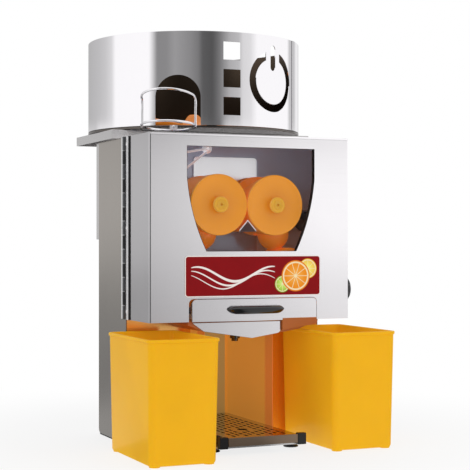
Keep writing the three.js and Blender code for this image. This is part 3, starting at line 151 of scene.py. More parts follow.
GRILLE_HOLE = (0.0, -0.13115)
GRILLE_HOLE_RADIUS = 0.009
BLOCK_WIDTH = 0.0154
BLOCK_DEPTH = 0.0095
BLOCK_LOW = 0.0105
ARM_HIGH = 0.0045
FOOT_X = 0.074
FOOT_Y = -0.17315
FOOT_RADIUS = 0.0132
BIN_FOOT = 0.0015
BIN_BASE = 0.004
BIN_WALL = 0.0024
BIN_CORNER = 0.011
BIN_RIM = 0.002
BIN_FLARE_X = 0.003
BIN_FLARE_Y = 0.0045
BIN_PAD = 0.011
KNUCKLE_RADIUS = 0.0032
LEAF = 0.0012
HINGE_SHADOW_STRIP = 0.006
LATCH_FACE = 0.1883
LATCH_STUD = 0.005
LATCH_NUT = 0.009
LATCH_NUT_THICK = 0.0045
LATCH_HOLLOWS = 6
SCREW_HEIGHT = 0.5
SCREW_STEPS = 20
ROD_STEPS = 24
ROUND_STEPS = 96
SHARP = 30
FLAT = 0.5

# Outlines as shares of (radius, height)
SCREW_HEAD = ((0, 0.35), (0.42, 0.35), (0.46, 1), (0.78, 0.86), (1, 0.4), (1, 0), (0, 0))
LATCH_HEAD = (
    (0, 0), (0.41, 0), (0.43, 0.16), (0.9, 0.32), (1, 0.42), (1, 0.8), (0.97, 0.9), (0.88, 0.965), (0.6, 1),
    (0, 1),
)
FLANGE_DISC = ((0, 0), (1, 0), (1, 0.7), (0.9, 1), (0, 1))
DISC_FACE = ((0.3, 0.47), (0.6, 0.58))
DISC_EDGE = ((1.5, 0.76), (1, 0.9), (0.5, 1), (0.12, 0.92), (0, 0.8))
# Rings of a bin in shares of its base's and its rim's size: (inwards, up), (outwards, down), (inwards, down)
BIN_ROUND = ((1, 0), (0.3, 0.3), (0, 1))
BIN_EDGE = ((0, 3), (0.35, 2.75), (1, 2.4), (1, 0.9), (0.8, 0.35), (0.2, 0))
BIN_LIP = ((0.6, 0), (0.9, 0.3), (1, 1))
PAD_SHARES = ((0, 0), (0.8, 0), (0.85, 2), (0, 2))
ROTOR_CONE = ((1, 0.13), (0.92, 0.18), (0.6, 0.42), (0.4, 0.66), (0.3, 0.86), (0.2, 0.97), (0, 1))
# Levels of the drawer's handle as shares of (height, width, depth)
HANDLE_LEVELS = (
    (0.0, 0.78, 0.70), (0.05, 0.83, 0.80), (0.18, 0.90, 0.91), (0.36, 0.96, 0.98), (0.56, 1.0, 1.0),
    (0.74, 0.97, 0.97), (0.9, 0.91, 0.86), (1.0, 0.85, 0.66),
)
# Places of the hinge's screws, as shares of its height
HINGE_SCREWS = (0.044, 0.5, 0.956)

# Fine lines of brushed sheet: how many across and along a metre, and how deep they look
LINES_ACROSS = 1500
LINES_ALONG = 14
LINE_DEPTH = 0.00002
LINE_STRENGTH = 0.35
# Numbers of the finishes
CHAMBER_ROUGHNESS = 0.16
ZONE_HALF = 0.004
ZONE_DULL = 0.88
ALCOVE_ROUGHNESS = 0.34
ALCOVE_METAL = 0.12
ALCOVE_GLOW = 0.17
ALCOVE_LINES = 12
ALCOVE_CLOUDS = (7, 7, 3)
ALCOVE_DEPTH = 0.6
ALCOVE_LIGHT = (-0.02, 0.26)
ALCOVE_SHADE_AND_CLOUDS = 0.8
DEEP_REFLECTION_END = 0.036
DEEP_REFLECTION_START = 0.026
WALL_FADE = 0.006
PAN_ROUGHNESS = 0.34
PAN_METAL = 0.85
PAN_WORN = 0.7
PAN_LIP = 0.0012
PAN_INSIDE = 0.0016
WAVE_SCALE = (6, 6, 2)
SCRATCH_SCALE = (900, 900, 30)
WAVE_DEPTH = 0.00006
COAT_ROUGHNESS = 0.12
SKIN_GRAIN = 2600.0
SPUN_GLOW = 0.1
RINGS = 700
RIM_HIGHLIGHT_WIDTH = 0.0009
RIM_HIGHLIGHT_EDGE = 0.0004
RING_DEPTH = 0.00003
PEBBLE_DEPTH = 0.0001
PANE_TINT = (70, 74, 84)
PANE_ROUGHNESS = 0.04
HAZE_SPREAD = 0.02
HAZE_LEAST = 0.035
BIN_THROUGH = 0.4
BIN_DEPTH = 0.006
# Polished metals as (name, colour, its share, roughness, glow)
POLISHED = (
    ("grille_sheet", "bright", 0.5, 0.16, 0.0),
    ("hopper_sheet", "bright", 1, 0.06, 0.0),
    # The hopper's inner faces: steel darkened as painted shade.
    ("hopper_inside", "lip", 0.3, 0.3, 0.0),
    ("bright_wire", "bright", 1, 0.16, 0.0),
    # The guide wire's glow is painted light.
    ("guide_wire", "bright", 1, 0.3, 0.3),
    ("hinge_leaf", "bright", 1, 0.32, 0.0),
    ("dark_plate", "plate", 1, 0.22, 0.0),
)
# Cast and painted metals as (name, colour, its share, roughness, metallic share, grains in a metre)
CAST = (
    ("hinge_strip", "bright", 1, 0.35, 0.3, 900.0),
    ("hinge_knuckle_dark", "casting", 0.1, 0.35, 0.6, 900.0),
    ("hinge_knuckle_pale", "casting", 0.35, 0.3, 0.8, 900.0),
    ("screw_steel", "bright", 1, 0.25, 1.0, 1500.0),
    ("gear_steel", "casting", 1, 0.32, 1.0, 700.0),
    ("casting", "casting", 1, 0.45, 1.0, 1500.0),
    ("motor_paint", "paint", 1, 0.5, 0.0, 900.0),
)
# Colours of the front panel's print are darker and lighter by these shares
PAPER_DARK = 0.9
PAPER_LIGHT = 1.12
# Waves of the print as (offset, phase, half width), and slices as (place, radius, rim, flesh, segments)
WAVES = ((0.1, 0.0, 0.055), (-0.1, 0.5, 0.035), (-0.26, 1.0, 0.02))
SLICES = (
    ((1.55, -0.42), 0.42, (120, 176, 40), (178, 214, 84), 8),
    ((2.95, 0.34), 0.50, (246, 190, 40), (250, 214, 96), 8),
    ((2.28, -0.02), 0.78, (240, 132, 22), (248, 150, 34), 10),
)
PITH = (255, 236, 190)
HAIRLINE = (250, 244, 240)
LABEL_ROUND = 0.17

# The studio: lamps as (name, place, size, power), the paper floor and the camera
LAMPS = (
    ("key", (1.1, -2.6, 1.7), 1.4, 3),
    ("fill", (-1.1, -2.6, 0.5), 1.0, 1.5),
    ("side", (-2.3, -2.0, 0.5), 1.4, 0.5),
    ("top", (0.2, 0.3, 2.6), 1.6, 3),
)
LAMP_TARGET = (0, 0, 0.35)
PAPER_SIZE = 12
PAPER_SEEN = 0.8
PAPER_NEAR = 0.3
PAPER_FAR = 0.9
PAPER_BOUNCE = 0.95
PAPER_MIRROR = 0.75
SOFT_LIGHT = (0.78, 0.78, 0.78)
WHITE = (1.0, 1.0, 1.0)
CAMERA_PLACE = (-0.9456, -2.27745, 0.362)
CAMERA_AIM = (0.3982, 0.9173, 0)
CAMERA_SENSOR = 36
CAMERA_LENS = 102.42
CAMERA_SHIFT = 0.0089
CAMERA_NEAR = 0.05
CAMERA_FAR = 60

# What the steel mirrors round the studio, as (share of the round, light): level with it, and higher up
LOW_WALLS = (
    (0.0, 0.66), (0.07, 0.66), (0.1, 1.0), (0.305, 1.0), (0.32, 0.25), (0.45, 0.25), (0.518, 0.12),
    (0.535, 0.9), (0.55, 1.0), (0.78, 1.0), (0.8, 0.6), (0.86, 0.9), (0.95, 0.7), (1.0, 0.66),
)
HIGH_WALLS = (
    (0.0, 0.46), (0.1, 0.54), (0.135, 0.6), (0.165, 0.72), (0.182, 1.0), (0.305, 1.0), (0.318, 0.62),
    (0.33, 0.25), (0.36, 0.26), (0.385, 0.33), (0.43, 0.26), (0.453, 0.2), (0.466, 0.11),
    (0.494, 0.09), (0.505, 0.13), (0.518, 0.2), (0.536, 0.34), (0.548, 0.44), (0.577, 0.52), (0.59, 0.71),
    (0.615, 0.76), (0.64, 1.0), (0.78, 1.0), (0.795, 0.58), (0.825, 0.55), (0.86, 0.9), (0.95, 0.6),
    (1.0, 0.46),
)


def tone(red, green, blue):
    """A colour given in the usual 0 to 255 steps, as linear light."""
    shares = [step / 255 for step in (red, green, blue)]
    return tuple(s / 12.92 if s <= 0.04045 else ((s + 0.055) / 1.055) ** 2.4 for s in shares)


# Sizes and colours that a user would change
def length(name, description, default):
    return FloatProperty(name=name, description=description, default=default, unit="LENGTH", precision=5)


def colour(name, description, default):
    return FloatVectorProperty(
        name=name, description=description, default=default, subtype="COLOR", size=3, min=0, max=1)


class JuicerSizes(PropertyGroup):
    """Sizes of what is modelled here"""

    edge: length("Sheet edge", "Rounding of the sheet's cut edges", 0.0004)
    fold: length("Moulded edge", "Rounding of the plastic pieces' edges", 0.001)
    screw: length("Screw head", "Radius of the casing's screw heads", 0.0034)
    wire: length("Wire", "Radius of the bright round wire", 0.002)
    slot_length: length("Grille slot", "Length of a slot in the drip grille", 0.0165)
    slot_width: length("Grille slot width", "Width of a slot in the drip grille", 0.0046)
    slot_pitch: length("Grille pitch", "Distance between slots that lie end to end", 0.0225)
    screw_inset: length("Screw inset", "Distance of the screws from the sheet's edges", 0.012)
    columns: IntProperty(name="Grille columns", description="Rows of slots side by side", default=9, min=1)
    knuckles: IntProperty(
        name="Hinge knuckles", description="Knuckles of the cover's hinge", default=13, min=3)


class JuicerColours(PropertyGroup):
    """Colours of the finishes"""

    cover: colour("Cover", "Satin sheet of the front", tone(250, 247, 250))
    side: colour("Sides", "Satin sheet of the column's sides", tone(180, 173, 165))
    steel: colour("Steel", "Satin sheet of the casing", tone(222, 220, 220))
    slate: colour("Chamber sheet", "Darker sheet behind the drums", tone(203, 213, 236))
    # Painted reflection of the orange bins, on the column's front below the drawer.
    painted_blush_reflection: colour("Blush sheet", "Column's front beside the alcove", tone(250, 190, 110))
    lip: colour("Tray's lip", "Worn sheet of the drip pan", tone(146, 126, 108))
    bright: colour("Bright steel", "Polished sheet of the hopper and the wires", tone(250, 248, 251))
    plate: colour("Dark plate", "Plate under the hopper", tone(104, 98, 94))
    orange: colour("Orange", "Cups and balls of the drums", tone(244, 140, 40))
    disc: colour("Discs", "Guard discs of the upper drums", tone(248, 158, 34))
    # Painted warm reflection of the bins on the alcove's side walls.
    painted_warm_reflection: colour("Warm sheet", "Side walls of the alcove", tone(255, 190, 84))
    # Painted deeper reflection near those walls' front edges.
    deep: colour("Deep sheet", "Front edges of those walls", tone(226, 96, 48))
    back: colour("Back sheet", "Back wall of the alcove", tone(160, 166, 160))
    tray: colour("Tray", "Juice tray", tone(180, 96, 28))
    yellow: colour("Yellow", "Peel bins", tone(228, 172, 30))
    knob: colour("Knob", "Knobs of the upper drums", tone(236, 174, 42))
    black: colour("Black", "Handle, latch and rubber", tone(14, 14, 16))
    label: colour("Label", "Ground of the front panel", tone(140, 8, 16))
    nylon: colour("Nylon", "Motor's pinion", tone(228, 222, 204))
    paint: colour("Motor paint", "Motors", tone(62, 70, 78))
    casting: colour("Casting", "Gearbox plates", tone(165, 167, 170))


# Node trees written as expressions
class Number:
    """A node's output, on which Python's operators add Math nodes."""

    def __init__(self, board, socket):
        self.board = board
        self.socket = socket

    def math(self, operation, *others):
        values = dict(enumerate((self, *others)))
        return self.board.add("ShaderNodeMath", {"operation": operation}, values)

    def __rsub__(self, other):
        return self.board.number(other).math("SUBTRACT", self)

    def __neg__(self):
        return self * -1

    def sine(self):
        return self.math("SINE")

    def root(self):
        return self.math("SQRT")


for method, operation in (
        ("__add__", "ADD"), ("__sub__", "SUBTRACT"), ("__mul__", "MULTIPLY"), ("__truediv__", "DIVIDE"),
        ("__pow__", "POWER"), ("__abs__", "ABSOLUTE"), ("__lt__", "LESS_THAN"), ("most", "MAXIMUM")):
    setattr(Number, method, partialmethod(Number.math, operation))


class Board:
    """A node tree and the short ways to fill it."""

    def __init__(self, tree):
        self.tree = tree
        tree.nodes.clear()

    def add(self, kind, settings=None, values=None, output=0):
        node = self.tree.nodes.new(kind)
        for name, setting in (settings or {}).items():
            if name == "stops":
                self.ramp(node.color_ramp, setting)
            else:
                setattr(node, name, setting)
        for name, value in (values or {}).items():
            self.feed(node.inputs[name], value)
        return Number(self, node.outputs[output])

    def feed(self, socket, value):
        if isinstance(value, Number):
            self.tree.links.new(value.socket, socket)
        elif socket.type == "RGBA" and len(value) == 3:
            socket.default_value = (*value, 1)
        else:
            socket.default_value = value

    def ramp(self, ramp, stops):
        while len(ramp.elements) < len(stops):
            ramp.elements.new(0.5)
        for element, (place, light) in zip(ramp.elements, stops):
            element.position = place
            element.color = (light, light, light, 1)

    def around(self, vector, stops):
        """A light that changes round the object, from its back over its left, its front and its right."""
        across, ahead, _ = self.split(vector)
        turn = across.math("ARCTAN2", -ahead) / tau + 0.5
        return self.add("ShaderNodeValToRGB", {"stops": stops}, {0: turn})

    def number(self, value):
        node = self.add("ShaderNodeValue")
        node.socket.default_value = value
        return node

    def split(self, vector):
        node = self.tree.nodes.new("ShaderNodeSeparateXYZ")
        self.feed(node.inputs[0], vector)
        return [Number(self, output) for output in node.outputs]

    def stretched(self, vector, scale, centre=(0, 0, 0)):
        moved = self.add("ShaderNodeVectorMath", {"operation": "SUBTRACT"}, {0: vector, 1: tuple(centre)})
        return self.add("ShaderNodeVectorMath", {"operation": "MULTIPLY"}, {0: moved, 1: tuple(scale)})

    def noise(self, vector, scale=1.0, detail=2.0):
        return self.add("ShaderNodeTexNoise", values={"Vector": vector, "Scale": scale, "Detail": detail})

    def blend(self, share, first, second):
        sockets = {"Factor": share, 6: first, 7: second}
        return self.add("ShaderNodeMix", {"data_type": "RGBA"}, sockets, output=2)

    def step(self, value, low, high):
        settings = {"interpolation_type": "SMOOTHSTEP"}
        return self.add("ShaderNodeMapRange", settings, {"Value": value, "From Min": low, "From Max": high})


class Finish(Board):
    """One material, with its Principled shader ready to be fed."""

    def __init__(self, name, base, roughness, metallic=0.0, **others):
        self.material = bpy.data.materials.new(name)
        self.material.use_nodes = True
        super().__init__(self.material.node_tree)
        self.shader = self.tree.nodes.new("ShaderNodeBsdfPrincipled")
        self.output = self.tree.nodes.new("ShaderNodeOutputMaterial")
        self.tree.links.new(self.shader.outputs[0], self.output.inputs["Surface"])
        self.base = tuple(base)
        self.roughness = roughness
        self.set("Base Color", self.base)
        self.set("Roughness", roughness)
        self.set("Metallic", metallic)
        for socket, value in others.items():
            self.set(socket.replace("_", " ").title().replace("Ior", "IOR"), value)
        self.place = self.add("ShaderNodeTexCoord", output="Object")
        FINISHES[name] = self.material

    def set(self, socket, value):
        self.feed(self.shader.inputs[socket], value)

    def vary_colour(self, share, darker, lighter):
        self.set("Base Color", self.blend(share, shade(self.base, darker), shade(self.base, lighter)))

    def vary_roughness(self, share, spread):
        self.set("Roughness", share * (2 * spread) + (self.roughness - spread))

    def bump(self, height, distance, strength):
        values = {"Height": height, "Distance": distance, "Strength": strength}
        self.set("Normal", self.add("ShaderNodeBump", values=values))

    def glow(self, strength):
        self.set("Emission Color", self.base)
        self.set("Emission Strength", strength)

    def lines(self, grain, along=LINES_ALONG):
        """Fine lines along an axis, also as a relief."""
        scale = [LINES_ACROSS] * 3
        scale["XYZ".index(grain)] = along
        made = self.noise(self.stretched(self.place, scale), 1.0, 2.0)
        self.bump(made, LINE_DEPTH, LINE_STRENGTH)
        return made


def shade(colour_, share):
    """A colour made darker or lighter."""
    return tuple(min(1, part * share) for part in colour_)


def mix(first, second, weight):
    """Two patterns, the first with the given weight."""
    return first * weight + second * (1 - weight)


# Finishes
def brushed(name, base, roughness, grain, metallic=1.0, smudge_and_shade_darkest=0.92, painted_light_fades=()):
    """Steel with fine lines, soft smudges and painted light fades, given as (axis, low, high, weight)."""
    made = Finish(name, base, roughness, metallic)
    lines = made.lines(grain)
    smudges = made.noise(made.place, 9.0, 3.0)
    share = mix(lines, smudges, 0.5)
    if painted_light_fades:
        share = share * 0.2
    # Each fade is painted shade: darker below its low end, lighter past its high end.
    for axis, low, high, weight in painted_light_fades:
        share = share + made.step(made.split(made.place)["XYZ".index(axis)], low, high) * weight
    made.vary_colour(share, smudge_and_shade_darkest, 1.05 if painted_light_fades else 1.06)
    made.vary_roughness(mix(lines, smudges, 0.6), 0.07)


def chamber_sheet(name, above, below, height, metals):
    """Sheet with one colour and metallic share above a height, and others below it, painting light and shade
    as two zones of one sheet.
    """
    made = Finish(name, above, CHAMBER_ROUGHNESS, 1.0)
    lines = made.lines("Z")
    clouds = made.noise(made.place, 11.0, 3.0)
    high = made.step(made.split(made.place)[2], height - ZONE_HALF, height + ZONE_HALF)
    mixed = mix(clouds, lines, 0.6)
    upper, lower = (made.blend(mixed, shade(colour_, ZONE_DULL), colour_) for colour_ in (above, below))
    made.set("Base Color", made.blend(high, lower, upper))
    made.set("Metallic", high * (metals[0] - metals[1]) + metals[1])
    made.vary_roughness(clouds, 0.04)


def alcove_sheet(name, painted_warm_reflection, deep, steel, half, front):
    """The alcove's lining: side walls painted with a warm reflection of the bins, painted shade towards their
    front and bottom, a deeper painted reflection near their front edges, a faint painted glow, and a plain
    back.
    """
    made = Finish(name, painted_warm_reflection, ALCOVE_ROUGHNESS, ALCOVE_METAL)
    # A faint painted glow.
    made.glow(ALCOVE_GLOW)
    across, ahead, up = made.split(made.place)
    lines = made.lines("Z", ALCOVE_LINES)
    clouds = made.noise(made.stretched(made.place, ALCOVE_CLOUDS), 1.0, 3.0)
    # Painted shade: the walls darken towards the front and the bottom, mixed with clouds.
    light = made.step(ahead * ALCOVE_DEPTH + up, *ALCOVE_LIGHT)
    walls = made.blend(mix(light, clouds, 0.6), shade(painted_warm_reflection, ALCOVE_SHADE_AND_CLOUDS), painted_warm_reflection)
    # A deeper painted reflection near the walls' front edges.
    walls = made.blend(made.step(ahead, front + DEEP_REFLECTION_END, front + DEEP_REFLECTION_START), walls, deep)
    side = made.step(abs(across), half - WALL_FADE, half - ZONE_HALF)
    made.set("Base Color", made.blend(side, steel, walls))
    made.vary_roughness(mix(clouds, lines, 0.5), 0.06)


def pan_sheet(name, lip, inside, front):
    """The drip pan: a worn lip in front and a dark inside."""
    made = Finish(name, lip, PAN_ROUGHNESS, PAN_METAL)
    lines = made.lines("X")
    stains = made.noise(made.place, 26.0, 4.0)
    ahead = made.split(made.place)[1]
    face = made.blend(mix(stains, lines, 0.7), shade(lip, PAN_WORN), lip)
    made.set("Base Color", made.blend(made.step(ahead, front + PAN_LIP, front + PAN_INSIDE), face, inside))
    made.vary_roughness(stains, 0.08)


def polished(name, base, roughness, glow):
    """Steel polished by hand, a little uneven and hardly scratched."""
    made = Finish(name, base, roughness, 1.0)
    made.glow(glow)
    waves = made.noise(made.stretched(made.place, WAVE_SCALE), 1.0, 1.0)
    scratches = made.noise(made.stretched(made.place, SCRATCH_SCALE), 1.0, 2.0)
    made.vary_colour(mix(waves, scratches, 0.6), 0.95, 1.04)
    made.vary_roughness(mix(waves, scratches, 0.5), 0.04)
    made.bump(waves, WAVE_DEPTH, 0.5)


def moulded(name, base, roughness, grain=0.00002, glow=0.0, **others):
    """Plastic with a fine skin, a slightly uneven colour and a faint painted glow of its own."""
    made = Finish(name, base, roughness, coat_roughness=COAT_ROUGHNESS, **others)
    made.glow(glow)
    clouds = made.noise(made.place, 16.0, 3.0)
    skin = made.noise(made.place, SKIN_GRAIN, 2.0)
    made.vary_colour(clouds, 0.94, 1.06)
    made.vary_roughness(mix(clouds, skin, 0.5), 0.06)
    made.bump(skin, grain, 0.3)


def spun(name, base, roughness, centre, inner, outer):
    """Moulded plastic with the faint rings of a turned face round an axis along Y, painted shade towards the
    hub, a painted highlight along the rim and a faint painted glow.
    """
    made = Finish(name, base, roughness)
    made.glow(SPUN_GLOW)
    across, _, up = made.split(made.stretched(made.place, (1, 1, 1), centre))
    reach = (across * across + up * up).root()
    rings = made.noise(made.add("ShaderNodeCombineXYZ", values={0: reach * RINGS}), 1.0, 2.0)
    clouds = made.noise(made.place, 30.0, 3.0)
    # Painted shade: darker inside the inner radius, lighter out to the outer one.
    share = clouds * 0.35 + rings * 0.15 + made.step(reach, inner, outer) * 0.5
    face = made.blend(share, shade(base, 0.8), shade(base, 1.08))
    # A painted highlight along the rim.
    rim = made.step(reach, outer - RIM_HIGHLIGHT_WIDTH, outer - RIM_HIGHLIGHT_EDGE)
    rim_highlight = tuple(min(1, part * 1.2 + 0.12) for part in base)
    made.set("Base Color", made.blend(rim * 0.7, face, rim_highlight))
    made.vary_roughness(clouds, 0.06)
    made.bump(rings, RING_DEPTH, 0.4)


def cast(name, base, roughness, metallic, grain):
    """Cast or painted metal with a pebbled skin."""
    made = Finish(name, base, roughness, metallic)
    pebbles = made.noise(made.place, grain, 3.0)
    clouds = made.noise(made.place, 25.0, 2.0)
    made.vary_colour(mix(clouds, pebbles, 0.6), 0.85, 1.1)
    made.vary_roughness(pebbles, 0.08)
    made.bump(pebbles, PEBBLE_DEPTH, 0.4)


def clear_pane(name):
    """Thin clear sheet with a faint haze."""
    made = Finish(name, tone(*PANE_TINT), PANE_ROUGHNESS)
    haze = made.noise(made.place, 12.0, 3.0)
    made.vary_roughness(haze, 0.02)
    made.set("Alpha", haze * HAZE_SPREAD + HAZE_LEAST)


def citrus(board, along, up, place, radius, rim, flesh, parts):
    """A fruit slice: (mask of the slice, its colour)."""
    right = (along - place[0]) / radius
    high = (up - place[1]) / radius
    reach = (right * right + high * high).root()
    turn = high.math("ARCTAN2", right)
    wall = abs((turn * (parts / 2)).sine()) * reach < 0.09
    core = tuple(min(1, part * 1.3 + 0.05) for part in flesh)
    pulp = board.blend(board.step(reach, 0.15, 0.8), core, flesh)
    inside = board.blend(wall.most(reach < 0.1), pulp, tone(*PITH))
    ringed = board.blend(board.step(reach, 0.80, 0.83), inside, tone(*PITH))
    skin = board.blend(board.step(reach, 0.90, 0.93), ringed, rim)
    return 1 - board.step(reach, 0.98, 1.01), skin


def printed(name, ground, low, high):
    """The front panel's print: a pale hairline, three fruit slices on the right and a wave on the left."""
    made = Finish(name, ground, 0.4, specular_ior_level=0.12)
    half = (high.z - low.z) / 2
    centre = (low + high) / 2
    along, _, up = made.split(made.stretched(made.place, (1 / half,) * 3, centre))
    paper = made.noise(made.place, 60.0, 2.0)
    colours = made.blend(paper, shade(ground, PAPER_DARK), shade(ground, PAPER_LIGHT))
    white = tone(*HAIRLINE)
    for offset, phase, weight in WAVES:
        swing = (along * 1.55 + phase).sine() * 0.36 + offset
        taper = (1 - ((along + 1.1) / 2.25) ** 2).most(0).root()
        line = made.step(abs(up - swing), taper * weight + 0.02, taper * weight)
        colours = made.blend(line * made.step(taper, 0.05, 0.2), colours, white)
    for place, radius, rim, flesh, parts in SLICES:
        mask, fruit = citrus(made, along, up, place, radius, tone(*rim), tone(*flesh), parts)
        colours = made.blend(mask, colours, fruit)
    reach = (high.x - low.x) / 2 / half
    past_x = (abs(along) - (reach - LABEL_ROUND)).most(0)
    past_z = (abs(up) - (1 - LABEL_ROUND)).most(0)
    edge = (past_x * past_x + past_z * past_z).root()
    border = made.step(edge, LABEL_ROUND - 0.05, LABEL_ROUND - 0.035)
    made.set("Base Color", made.blend(border, colours, white))
    made.vary_roughness(paper, 0.04)


# Meshes
def centre_of(node):
    low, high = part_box(node)
    return (Vector(low) + Vector(high)) / 2


def corners(node):
    low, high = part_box(node)
    return Vector(low), Vector(high)


def turned(bm, profile, centre, axis, steps=ROUND_STEPS):
    """Spins an outline of (radius, place along the axis) round the axis, from the axis out and back."""
    side = axis.orthogonal().normalized()
    points = [bm.verts.new(centre + side * radius + axis * place) for radius, place in profile]
    pairs = list(zip(points, points[1:]))
    if profile[0][0] > 0:
        pairs.append((points[-1], points[0]))
    edges = [bm.edges.new(pair) for pair in pairs]
    bmesh.ops.spin(bm, geom=points + edges, cent=centre, axis=axis, angle=tau, steps=steps, use_merge=True)
    bmesh.ops.remove_doubles(bm, verts=bm.verts, dist=WELD)


def rod(bm, radius, start, end, place, axis, steps=ROD_STEPS):
    """A plain round rod from start to end along an axis through a place."""
    turned(bm, [(0, start), (radius, start), (radius, end), (0, end)], place, axis, steps)


def tube(inner, outer, low, high, edge):
    """The outline of a round part whose outer edges are rounded off."""
    return [
        (inner, low), (outer - edge, low), (outer, low + edge),
        (outer, high - edge), (outer - edge, high), (inner, high),
    ]


def scaled(shares, across, along):
    """An outline given in shares, in metres."""
    return [(first * across, second * along) for first, second in shares]


def prism(bm, points, way):
    """A flat outline drawn out along a way."""
    face = bm.faces.new([bm.verts.new(point) for point in points])
    made = bmesh.ops.extrude_face_region(bm, geom=[face])["geom"]
    moved = [item for item in made if isinstance(item, bmesh.types.BMVert)]
    bmesh.ops.translate(bm, vec=way, verts=moved)


def upright(outline, front, back):
    """An outline in X and Z as points at the front, and the way to the back."""
    return [Vector((across, front, up)) for across, up in outline], Y * (back - front)


def loft(bm, rings, closed=False):
    """A skin over rings of equally many points, capped at its two ends, or closed to a loop of rings."""
    rows = []
    for ring in rings:
        points = [bm.verts.new(point) for point in ring]
        rows.append([bm.edges.new((points[k - 1], points[k])) for k in range(len(points))])
    for low, high in zip(rows, rows[1:]):
        bmesh.ops.bridge_loops(bm, edges=low + high)
    if closed:
        bmesh.ops.bridge_loops(bm, edges=rows[-1] + rows[0])
    else:
        for row in (rows[0], rows[-1]):
            bmesh.ops.contextual_create(bm, geom=row)


def radial(angle):
    """The way out at an angle in degrees from the front, and the way along the round there."""
    turn = radians(angle)
    return Vector((sin(turn), -cos(turn), 0)), Vector((cos(turn), sin(turn), 0))


def window_outline(grow):
    """The window in X and Z: straight at the top, its sides drawn in to a narrower sill."""
    shoulder = Vector((WINDOW_TOP_HALF + grow, WINDOW_SHOULDER))
    belly = Vector((WINDOW_BELLY + grow, WINDOW_BELLY_Z))
    sill = Vector((WINDOW_SILL_HALF + grow, WINDOW_SILL - grow))
    right = [Vector((WINDOW_TOP_HALF + grow, WINDOW_TOP + grow))]
    for k in range(WINDOW_STEPS + 1):
        share = k / WINDOW_STEPS
        right.append(shoulder.lerp(belly, share).lerp(belly.lerp(sill, share), share))
    return [Vector((-across, up)) for across, up in right[::-1]] + right


def rounded(outline, steps=8):
    """An outline whose corners, given as (across, up, radius), are rounded."""
    points = []
    for i, (across, up, radius) in enumerate(outline):
        here = Vector((across, up))
        if not radius:
            points.append(here)
            continue
        back = (Vector(outline[i - 1][:2]) - here).normalized()
        ahead = (Vector(outline[(i + 1) % len(outline)][:2]) - here).normalized()
        half = back.angle(ahead) / 2
        middle = here + (back + ahead).normalized() * (radius / sin(half))
        start = here + back * (radius / tan(half)) - middle
        end = here + ahead * (radius / tan(half)) - middle
        points += [middle + start.slerp(end, k / steps) * radius for k in range(steps + 1)]
    return points


def rectangle(left, low, right, high, radius=0.0, steps=8):
    places = ((left, low), (right, low), (right, high), (left, high))
    return rounded([(*place, radius) for place in places], steps)


def block(bm, low, high):
    low, high = Vector(low), Vector(high)
    size = Matrix.LocRotScale((low + high) / 2, None, high - low)
    bmesh.ops.create_cube(bm, size=1, matrix=size)


def ball(bm, centre, radius, rings=32):
    bmesh.ops.create_uvsphere(
        bm, u_segments=rings * 2, v_segments=rings, radius=radius, matrix=Matrix.Translation(centre))


def mesh_of(bm, angle=35):
    """A mesh from a bmesh, its faces outwards and smooth up to an angle."""
    bmesh.ops.recalc_face_normals(bm, faces=bm.faces)
    mesh = bpy.data.meshes.new("piece")
    bm.to_mesh(mesh)
    bm.free()
    return smoothed(mesh, angle)


def smoothed(mesh, angle):
    """The mesh, shaded smooth up to an angle."""
    mesh.shade_smooth()
    mesh.set_sharp_from_angle(angle=radians(angle))
    return mesh


def evaluated(obj):
    """A linked object's mesh with its modifiers, and the object gone."""
    mesh = bpy.data.meshes.new_from_object(obj.evaluated_get(bpy.context.evaluated_depsgraph_get()))
    bpy.data.objects.remove(obj)
    return mesh


def linked(name, data):
    obj = bpy.data.objects.new(name, data)
    bpy.context.collection.objects.link(obj)
    return obj


def carved(mesh, tool, operation="DIFFERENCE", angle=SHARP):
    """A mesh after a closed tool mesh was cut from it, or joined to it."""
    body = linked("body", mesh)
    cutter = linked("cutter", tool)
    modifier = body.modifiers.new("Cut", "BOOLEAN")
    modifier.object, modifier.operation, modifier.solver = cutter, operation, "EXACT"
    modifier.use_self = True
    made = evaluated(body)
    made.validate()
    bpy.data.objects.remove(cutter)
    return smoothed(made, angle)


def round_normals(mesh, centre, radii):
    """Lets the faces of a round wall, cut or not, shine as one true round."""
    normals = []
    for face in mesh.polygons:
        middle = face.center - centre
        away = Vector((middle.x, middle.y, 0))
        near = min(abs(away.length - radius) for radius in radii)
        on_wall = near < WALL_REACH and abs(face.normal.dot(away.normalized())) > WALL_LEAN
        for index in face.loop_indices:
            spot = mesh.vertices[mesh.loops[index].vertex_index].co - centre
            out = Vector((spot.x, spot.y, 0)).normalized()
            normals.append(out * (1 if face.normal.dot(out) > 0 else -1) if on_wall else face.normal)
    mesh.normals_split_custom_set([tuple(normal) for normal in normals])


def wire(bm, points, radius, cyclic=False, resolution=6):
    """A round wire along a smooth curve through its points."""
    curve = bpy.data.curves.new("wire", "CURVE")
    curve.dimensions = "3D"
    curve.bevel_depth = radius
    curve.bevel_resolution = 3
    curve.use_fill_caps = not cyclic
    spline = curve.splines.new("BEZIER")
    spline.bezier_points.add(len(points) - 1)
    for spot, point in zip(spline.bezier_points, points):
        spot.co = point
        spot.handle_left_type = spot.handle_right_type = "AUTO"
    spline.use_cyclic_u = cyclic
    spline.resolution_u = resolution
    made = evaluated(linked("wire", curve))
    bm.from_mesh(made)
    bmesh.ops.remove_doubles(bm, verts=bm.verts, dist=WELD)


